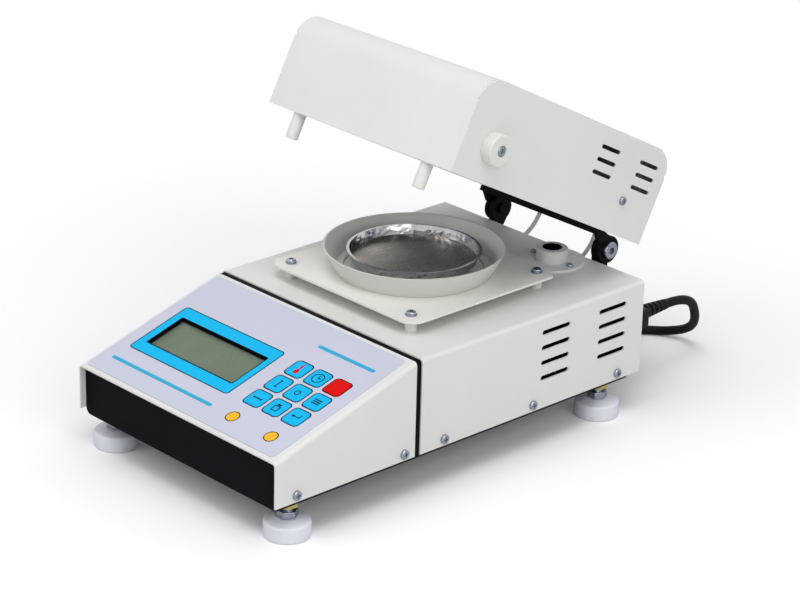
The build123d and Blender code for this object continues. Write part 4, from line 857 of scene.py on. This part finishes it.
    def keys(self) -> None:
        """The nine key caps, their printed outlines and their signs."""
        rims = Flat()
        size = self.key + 2 * (self.key_gap + self.key_outline)
        for name in (f"key_{row}_{column}" for row in (1, 2, 3) for column in (1, 2, 3)):
            finish, slot = (Finish.RED, Slot.RED) if name == self.red_key else (Finish.BLUE, Slot.BLUE)
            self.shop.carried(name, finish, name, slot, 0.12)
            head = self.key_centre(name)
            rims.bar(head, (size, size), self.key_corner + self.key_outline, self.key_outline)
            if name in SIGNS:
                sign = Flat()
                for draw, step, *rest in SIGNS[name]:
                    draw(sign, (head[0] + step[0], head[1] + step[1]), *rest)
                drawn = sign.raised(self.plane, self.key_proud, self.key_proud + self.ink)
                finish = Finish.RED if name == self.red_sign else Finish.INK
                self.shop.place(f"{name}_sign", drawn, finish, name, Slot.BLACK_PAINT)
        self.ink_piece("key_outline_prints", rims, Finish.INK, Slot.BLACK_PAINT)

    def key_centre(self, name: str) -> tuple[float, float]:
        """A key's centre on the sheet, from the part of its cap that stands highest."""
        inverse = self.plane.inverted()
        local = [inverse @ v.co for v in frame["nodes"][name].data.vertices]
        top = [p for p in local if p.z > 0]
        x = (min(p.x for p in top) + max(p.x for p in top)) / 2
        y = (min(p.y for p in top) + max(p.y for p in top)) / 2
        return x / MM, y / MM


@dataclass
class Chassis:
    """The body cover, the tray, the panels and everything inside them."""

    shop: Workshop

    def build(self) -> None:
        """Dresses the chassis's pieces."""
        shop = self.shop
        shop.carried("body_cover", Finish.COVER, "base", Slot.WHITE_PAINT, 0.3)
        panels = ("chassis_tray", "front_panel", "rear_panel", "divider_frame")
        shop.carry("base", *((node, Finish.BLACK, Slot.BLACK_PAINT, 0.3) for node in panels))
        shop.carried("cover_screws", Finish.ZINC, "base", Slot.ZINC, 0.12)
        shop.dress("main_board", Finish.BOARD)
        shop.dress("transformer", Finish.ZINC)
        for node in ("load_cell", "load_cell_mount"):
            shop.dress(node, Finish.ALUMINIUM)


@dataclass
class Balance:
    """The plate over the body with the wind ring, the dish and the spirit level."""

    shop: Workshop
    ring_flare: float = 9.2
    ring_sheet: float = 1.5
    ring_foot: float = 6.0
    foil: float = 0.3
    dish_flare: float = 3.4
    dish_lip: float = 1.8
    crinkle: float = 0.77
    level_bore: float = 7.4
    bubble_ring: tuple[float, float] = (3.4, 0.35)

    def build(self) -> None:
        """Builds the plate and what stands on it."""
        self.shop.carry(
            "base", ("pan_plate", Finish.PLATE, Slot.WHITE_PAINT, 0.35),
            ("plate_standoffs", Finish.POST, Slot.NYLON, 0.3), ("plate_screws", Finish.ZINC, Slot.ZINC, 0.12),
        )
        self.shop.carried("pan_support", Finish.ALUMINIUM, "pan", Slot.ALUMINIUM, 0.25)
        self.wind_ring()
        self.dish()
        self.level()

    def wind_ring(self) -> None:
        """The flared ring with a soft outer lip and an inward foot."""
        low, high, centre = centred("wind_ring")
        rim, height = (high.x - low.x) / 2, high.z - low.z
        foot, sheet = rim - self.ring_flare * MM, self.ring_sheet * MM
        inside = foot - self.ring_foot * MM
        profile = rounded_profile((
            (inside, 0, 0.2 * MM), (foot, 0, 0.5 * MM), (rim, height, 0.6 * MM),
            (rim - 1.7 * MM, height, 0.6 * MM), (foot - 0.9 * MM, sheet, 1.2 * MM), (inside, sheet, 0.2 * MM),
        ))
        bm = spun(profile, (centre.x, centre.y, low.z), 128)
        self.shop.place("wind_ring_piece", bm, Finish.RING, "base", Slot.WHITE_PAINT, ("wind_ring",))

    def dish(self) -> None:
        """The foil dish: a flat floor, a crinkled wall and a rolled lip. The floor's faces take a darker copy of
        the foil, a painted dark reflection.
        """
        low, high, centre = centred("foil_dish")
        rim, height = (high.x - low.x) / 2, high.z - low.z
        floor, neck, t = rim - self.dish_flare * MM, rim - self.dish_lip * MM, self.foil * MM
        outer = [(0, 0), (floor * 0.5, 0), (floor - 2 * MM, 0)]
        wall = [(floor + (neck - floor) * k / 6, (height - t) * k / 6) for k in range(7)]
        lip = rounded_profile(((rim, height - t, 0.1 * MM), (rim, height, 0.1 * MM)), 3)
        inner = [(r - t * 0.9, z + t * 0.6) for r, z in reversed(wall)]
        inner[0] = (neck - t, height)
        inner[-1] = (floor - t, t)
        back = [(floor - 2 * MM, t), (floor * 0.5, t), (0, t)]
        bm = spun(outer + wall + lip + inner + back, (0, 0, 0), 240)
        for vert in bm.verts:
            radius = math.hypot(vert.co.x, vert.co.y)
            if radius < floor - 1 * MM:
                continue
            share = min(1.0, max(0.0, vert.co.z / height))
            turn = math.atan2(vert.co.y, vert.co.x)
            folds = noise.noise(Vector((math.cos(turn) * 9, math.sin(turn) * 9, share * 1.5)))
            folds += 0.6 * noise.noise(Vector((math.cos(turn) * 23, math.sin(turn) * 23, share * 3)))
            pull = abs(folds) * self.crinkle * MM * math.sin(math.pi * min(share, 0.96))
            scale = (radius - pull) / radius
            vert.co.x *= scale
            vert.co.y *= scale
        bmesh.ops.translate(bm, verts=bm.verts, vec=(centre.x, centre.y, low.z))
        piece = self.shop.place(
            "foil_dish_piece", bm, Finish.FOIL_PAINTED_REFLECTIONS, "dish", Slot.ALUMINIUM, ("foil_dish",), crease=50,
        )
        # The flat floor faces take the darker foil, a painted dark reflection.
        piece.data.materials.append(self.shop.material(Finish.DISH_FLOOR_PAINTED_REFLECTION))
        for face in piece.data.polygons:
            flat = abs(face.normal.z) > 0.9
            inside = (face.center - Vector((centre.x, centre.y, face.center.z))).length < floor - 0.5 * MM
            face.material_index = int(flat and inside)

    def level(self) -> None:
        """The spirit level's boss, its screws and the glass with a bubble."""
        housing = self.shop.carried("level_housing", Finish.COVER, "base", Slot.WHITE_PAINT, 0.3)
        housing.data.materials.append(self.shop.material(Finish.BLACK))
        axis = middle("level_vial")
        for face in housing.data.polygons:
            away = math.hypot(face.center.x - axis.x, face.center.y - axis.y)
            face.material_index = int(away < self.level_bore * MM and abs(face.normal.z) < 0.5)
        self.shop.carried("level_screws", Finish.ZINC, "base", Slot.ZINC, 0.1)
        self.shop.carried("level_vial", Finish.BUBBLE, "base", Slot.PANE, 0.2)
        ring = Flat().disc((0, 0), *self.bubble_ring)
        place = Matrix.Translation((axis.x, axis.y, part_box("level_vial")[1].z))
        self.shop.place("level_ring_print", ring.raised(place, 0, 0.05), Finish.INK, "base", Slot.BLACK_PAINT)


@dataclass
class Lid:
    """The drying lid: wrapper, cheeks, heater, knobs and posts."""

    shop: Workshop

    def build(self) -> None:
        """Dresses the lid's pieces."""
        sheets = ("lid_wrapper", "lid_cheek_left", "lid_cheek_right")
        self.shop.carry(
            "lid", *((node, Finish.COVER, Slot.WHITE_PAINT, 0.3) for node in sheets),
            ("lid_bottom_plate", Finish.ZINC, Slot.ZINC, 0.3), ("reflector", Finish.REFLECTOR, Slot.ALUMINIUM, 0),
            ("heater", Finish.QUARTZ, Slot.QUARTZ, 0), ("heater_holders", Finish.CERAMIC, Slot.CERAMIC, 0.3),
            ("temperature_sensor", Finish.PROBE, Slot.PROBE, 0.1), ("lid_posts", Finish.POST, Slot.NYLON, 0.2),
            ("lid_knobs", Finish.POST, Slot.NYLON, 0.3), ("lid_screws", Finish.ZINC, Slot.ZINC, 0.1),
            ("lid_hinge_bracket", Finish.HINGE, Slot.BLACK_PAINT, 0.35),
        )


@dataclass
class Hinge:
    """The base's half of the hinge and the leads that cross it."""

    shop: Workshop
    head: float = 3.1
    lead: float = 3.2
    lid_corner: tuple[float, float] = (-11.5, 11.4)
    lead_rise: float = 9.0
    lead_stub: float = 12.0
    routes: tuple[tuple[float, float], ...] = ((-14.0, -30.5), (40.0, 29.0))

    def build(self) -> None:
        """Builds the brackets, bolts and leads."""
        self.shop.carried("hinge_brackets", Finish.HINGE, "base", Slot.BLACK_PAINT, 0.35)
        bolts = self.shop.carried("hinge_bolts", Finish.ZINC, "base", Slot.ZINC, 0.15)
        bolts.data.materials.append(self.shop.material(Finish.HINGE))
        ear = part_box("hinge_bolts")[1].x - self.head * MM
        for face in bolts.data.polygons:
            face.material_index = int(abs(face.center.x) < ear)
        self.shop.carried("lead_grommets", Finish.RUBBER, "base", Slot.RUBBER, 0.3)
        self.leads()

    def leads(self) -> None:
        """The two leads from the lid's rear wall to the rear panel."""
        pivot = Vector(joint("lid_hinge")["pos_m"])
        angle = math.radians(-joint("lid_hinge")["range_deg"][1])
        corner = Matrix.Translation((0, self.lid_corner[0] * MM, self.lid_corner[1] * MM))
        lid = Matrix.Translation(pivot) @ Matrix.Rotation(angle, 4, "X") @ corner
        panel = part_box("rear_panel")[1].y
        height = middle("lead_grommets").z
        behind, rise = pivot.y + 14 * MM, self.lead_rise * MM
        for number, (lid_x, panel_x) in enumerate(self.routes, 1):
            step = panel_x - lid_x
            points = [
                lid @ Vector((lid_x * MM, -1.2 * MM, rise)),
                lid @ Vector((lid_x * MM, 9 * MM, rise)),
                Vector(((lid_x + step * 0.45) * MM, behind, pivot.z + 8 * MM)),
                Vector(((lid_x + step * 0.85) * MM, behind - 4 * MM, pivot.z - 12 * MM)),
                Vector((panel_x * MM, panel + self.lead_stub * MM, height)),
                Vector((panel_x * MM, panel - 1.5 * MM, height)),
            ]
            piece = self.wire(f"heater_lead_{number}", points)
            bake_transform(piece)
            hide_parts("heater_leads")
            LOG.info("%s across the hinge", piece.name)

    def wire(self, name: str, points: Sequence[Vector]) -> bpy.types.Object:
        """A mesh tube along a smooth curve.

        Args:
            name: The piece's name.
            points: The curve's control points.

        Returns:
            The mesh object.
        """
        curve = smooth_curve(name, points, self.lead / 2 * MM)
        mesh = evaluated_mesh(curve)
        mesh.name = name
        bpy.data.objects.remove(curve)
        mesh.polygons.foreach_set("use_smooth", [True] * len(mesh.polygons))
        mesh.materials.clear()
        mesh.materials.append(self.shop.material(Finish.SLEEVE))
        return linked(name, mesh)


def smooth_curve(name: str, points: Sequence[Vector], radius: float) -> bpy.types.Object:
    """An open NURBS curve of order 3 with a round section and closed ends.

    Args:
        name: The curve's name.
        points: Its control points.
        radius: The section's radius in metres.

    Returns:
        The curve object.
    """
    data = bpy.data.curves.new(name, "CURVE")
    data.dimensions = "3D"
    data.bevel_depth = radius
    data.bevel_resolution = 5
    data.resolution_u = 10
    data.use_fill_caps = True
    spline = data.splines.new("NURBS")
    spline.points.add(len(points) - 1)
    for control, point in zip(spline.points, points):
        control.co = (*point, 1)
    spline.order_u = 3
    spline.use_endpoint_u = True
    curve = linked(name, data)
    bpy.context.view_layer.update()
    return curve


@dataclass
class MainsLead:
    """The inlet with its switch, the connector, the coiled cord and its plug."""

    shop: Workshop
    exit_x: float = 77.5
    diameter: float = 7.0
    length: float = 1466.0
    coil_radius: float = 39.0
    coil_centre: tuple[float, float] = (-42.0, 243.02)
    coil_steps: int = 16

    def build(self) -> None:
        """Builds the lead and dresses what it goes into."""
        shop = self.shop
        shop.carried("mains_inlet", Finish.PLASTIC, "base", Slot.BLACK_PLASTIC, 0.3)
        shop.carried("mains_rocker", Finish.PLASTIC, "rocker", Slot.BLACK_PLASTIC, 0.3)
        connector = shop.carried("power_connector", Finish.PLASTIC, "base", Slot.BLACK_PLASTIC, 0.4)
        plug = shop.carried("mains_plug", Finish.PLASTIC, "base", Slot.BLACK_PLASTIC, 0.5)
        self.cord()

    def cord(self) -> None:
        """The cord: down from the connector, round the coil and into the plug."""
        exit_at = Vector((self.exit_x * MM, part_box("power_connector")[1].y, middle("power_connector").z))
        x, y, z = (v / MM for v in exit_at)
        floor = self.diameter / 2
        cx, cy = self.coil_centre
        route = [
            (x, y, z), (x, y + 27, z), (x - 12, y + 50.2, z - 29.2), (x - 29.1, y + 62.7, floor + 8.4),
            (x - 50.5, y + 60.2, floor), (x - 66.7, y + 46.6, floor),
        ]
        route += self.turns()
        tail = cy - self.coil_radius - self.diameter
        axis = middle("mains_plug").z / MM
        route += [(cx - 14, tail, floor + self.diameter), (cx - 30, tail, axis), (cx - 44, tail, axis)]
        points = [Vector(p) * MM for p in route]
        curve = smooth_curve("power_cord_piece", points, self.diameter / 2 * MM)
        curve.data.materials.append(self.shop.material(Finish.RUBBER))
        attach(curve, "base")
        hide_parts("power_cord", "cord_coil")
        LOG.info("power cord with %d control points", len(points))

    def turns(self) -> list[Point]:
        """The coil's control points: in over the outer lower turn, out under the plug's neck."""
        cx, cy = self.coil_centre
        points: list[Point] = []
        for step in range(-self.coil_steps // 4, self.coil_steps * 5 + 1):
            turned = step / self.coil_steps
            column, layer = self.lie(turned)
            angle = -math.pi / 2 - math.tau * turned
            radius = self.coil_radius + column * self.diameter
            height = self.diameter * (layer + 0.5)
            points.append((cx + radius * math.cos(angle), cy + radius * math.sin(angle), height))
        return points

    @staticmethod
    def lie(turned: float) -> tuple[float, float]:
        """Where the cord lies in the coil after so many turns, counted in its own diameters.

        Args:
            turned: The turns since the coil's side nearest to the object.

        Returns:
            The steps outwards from the middle column, and the layer.
        """

        def eased(start: float, end: float) -> float:
            share = min(1.0, max(0.0, (turned % 1 - start) / (end - start)))
            return share * share * (3 - 2 * share)

        whole = math.floor(turned)
        inwards, climb, outwards = eased(0.35, 1.0), eased(0.25, 0.5), eased(0.0, 0.5)
        places = {
            -1: (2 - inwards, 0.0), 0: (1 - inwards, 0.0), 1: (-inwards, 0.0),
            2: (-1.0, climb), 3: (outwards - 1, 1.0), 4: (outwards, 1.0), 5: (1.0, 1.0),
        }
        return places[whole]


@dataclass
class Feet:
    """The four levelling feet and their lock nuts."""

    shop: Workshop
    hollow: float = 3.0
    shoulder: float = 11.5
    pad: float = 14.0
    collar: float = 8.5
    stud: float = 4.0
    nut_at: float = 16.5
    nut: float = 5.0
    across_flats: float = 13.0

    def build(self) -> None:
        """Builds each foot as pad, stud and nut."""
        for end in ("front", "rear"):
            for side in ("left", "right"):
                self.foot(f"foot_{end}_{side}")
        self.shop.carried("lock_nuts", Finish.BRASS_ZINC, "base", Slot.BRASS_ZINC, 0.2)

    def foot(self, node: str) -> None:
        """One foot: a turned nylon pad, a stud and a hexagon nut."""
        low, high, centre = centred(node)
        at = (centre.x, centre.y, low.z)
        r, hollow, top = (high.x - low.x) / 2, self.hollow * MM, self.pad * MM
        profile = rounded_profile((
            (0, hollow, 0), (r * 0.55, hollow, 0), (r * 0.62, 0, 0.5 * MM), (r, 0, 1.6 * MM),
            (r, self.shoulder * MM, 1.3 * MM), (self.collar * MM, top, 0.5 * MM), (0, top, 0),
        ))
        self.shop.place(f"{node}_pad", spun(profile, at), Finish.NYLON, node, Slot.NYLON, (node,))
        length = high.z - top
        spot = Matrix.Translation((*at[:2], top + length / 2))
        stud = self.prism(32, self.stud * MM, length, spot)
        self.shop.place(f"{node}_stud", stud, Finish.ZINC, node, Slot.ZINC, bevel=0.3)
        spot = Matrix.Translation((*at[:2], self.nut_at * MM)) @ Matrix.Rotation(math.radians(30), 4, "Z")
        nut = self.prism(6, self.across_flats / 2 / math.cos(math.pi / 6) * MM, self.nut * MM, spot)
        self.shop.place(f"{node}_nut", nut, Finish.ZINC, node, Slot.ZINC, bevel=0.4)

    @staticmethod
    def prism(sides: int, radius: float, height: float, place: Matrix) -> bmesh.types.BMesh:
        """An upright prism about its own centre.

        Args:
            sides: How many sides it has.
            radius: The radius over its corners, in metres.
            height: Its height in metres.
            place: Where its centre lies and how it is turned.

        Returns:
            The closed shape.
        """
        bm = bmesh.new()
        bmesh.ops.create_cone(
            bm, cap_ends=True, segments=sides, radius1=radius, radius2=radius, depth=height, matrix=place,
        )
        return bm


@dataclass
class Studio:
    """The floor, the lamps, the world and the camera."""

    target: Point = (0.98, -2.99, 90.89)
    azimuth: float = 46.82
    elevation: float = 22.71
    roll: float = 1.32
    distance: float = 2086.53
    focal: float = 2935.41
    centre: tuple[float, float] = (380.60, 306.44)
    picture: tuple[int, int] = (800, 600)
    sensor: float = 36.0
    daylight: float = 0.42
    near_glow: float = 0.03
    far_glow: float = 0.6
    reach: float = 3.0
    floor_size: float = 6.0
    aim: float = 0.1

    def build(self) -> None:
        """Sets up everything that isn't part of the object."""
        self.floor()
        self.lamps()
        self.world()
        self.camera()
        bpy.context.scene.view_settings.view_transform = "Standard"

    def camera(self) -> None:
        """The camera at the photograph's place."""
        a, e, roll = (math.radians(v) for v in (self.azimuth, self.elevation, self.roll))
        back = Vector((math.sin(a) * math.cos(e), -math.cos(a) * math.cos(e), math.sin(e)))
        right = (-back).cross(Vector((0, 0, 1))).normalized()
        up = right.cross(-back)
        level = right * math.cos(roll) + up * math.sin(roll)
        upright = up * math.cos(roll) - right * math.sin(roll)
        data = bpy.data.cameras.new("camera")
        data.sensor_width = self.sensor
        data.lens = self.focal * self.sensor / self.picture[0]
        data.shift_x = (self.picture[0] / 2 - self.centre[0]) / self.picture[0]
        data.shift_y = (self.centre[1] - self.picture[1] / 2) / self.picture[0]
        data.clip_end = 50
        camera = linked("camera", data)
        place = Matrix((level, upright, back)).transposed().to_4x4()
        place.translation = Vector(self.target) * MM + back * self.distance * MM
        camera.matrix_world = place
        bpy.context.scene.camera = camera

    def floor(self) -> None:
        """A pale floor that keeps the object's shadow. Its camera glow is painted light that grows with distance,
        so the floor round the object, where its shadow lies, stays darker than the floor further out.
        """
        bm = bmesh.new()
        bmesh.ops.create_grid(bm, x_segments=1, y_segments=1, size=self.floor_size)
        floor = linked("floor", solid_mesh("floor", bm))
        g = Surface("floor_white")
        path = g.make("ShaderNodeLightPath", {}, {}, "Is Camera Ray")
        g.set(Base_Color=g.mix(path, (0.8, 0.8, 0.8), (1.0, 1.0, 1.0)), Roughness=0.9, Specular_IOR_Level=0.0)
        # Painted light: the glow for camera rays grows with distance from the object, leaving a darker ring of
        # painted shade round it.
        away = g.make("ShaderNodeVectorMath", {"operation": "LENGTH"}, {0: g.place()}, "Value")
        far = g.ramp(away * (1 / self.reach), (0.07, 0), (0.2, 0.33), (0.9, 1))
        glow = g.mix(far, (self.near_glow,) * 3, (self.far_glow,) * 3)
        g.set(Emission_Color=g.mix(path, (0.0, 0.0, 0.0), glow), Emission_Strength=1.0)
        floor.data.materials.append(g.material)

    def lamps(self) -> None:
        """Three large soft lamps."""
        self.lamp("key", (-0.7, -1.9, 1.5), 1.2, 10)
        self.lamp("fill", (1.8, -0.5, 1.0), 1.4, 12)
        self.lamp("top", (0.5, -0.5, 2.3), 1.5, 23)

    def lamp(self, name: str, at: Point, size: float, power: float) -> None:
        """A square lamp that points at the object."""
        data = bpy.data.lights.new(name, "AREA")
        data.size = size
        data.energy = power
        lamp = linked(name, data)
        lamp.location = at
        lamp.rotation_euler = (Vector((0, 0, self.aim)) - Vector(at)).to_track_quat("-Z", "Y").to_euler()

    def world(self) -> None:
        """White round the object, and a softer white as light."""
        world = bpy.data.worlds.new("studio")
        world.use_nodes = True
        g = Graph(world.node_tree)
        rays = ("Is Camera Ray", "Is Glossy Ray", "Is Transmission Ray")
        camera, glossy, through = (g.make("ShaderNodeLightPath", {}, {}, ray) for ray in rays)
        seen = g.make("ShaderNodeMath", {"operation": "MAXIMUM"}, {0: camera, 1: glossy})
        seen = g.make("ShaderNodeMath", {"operation": "MAXIMUM"}, {0: seen, 1: through})
        light = g.make("ShaderNodeBackground", {}, {"Color": (0.97, 0.98, 1), "Strength": self.daylight})
        white = g.make("ShaderNodeBackground", {}, {"Color": (1, 1, 1), "Strength": 1.0})
        both = g.make("ShaderNodeMixShader", {}, {0: seen, 1: light, 2: white})
        g.make("ShaderNodeOutputWorld", {}, {"Surface": both}, None)
        bpy.context.scene.world = world


def main() -> None:
    """Builds the studio and the object."""
    logging.basicConfig(level=logging.INFO, format="%(message)s")
    Studio().build()
    shop = Workshop()
    MainsLead(shop).build()
    for assembly in (Chassis, Console, Balance, Lid, Hinge, Feet):
        assembly(shop).build()


if __name__ == "__main__":
    main()
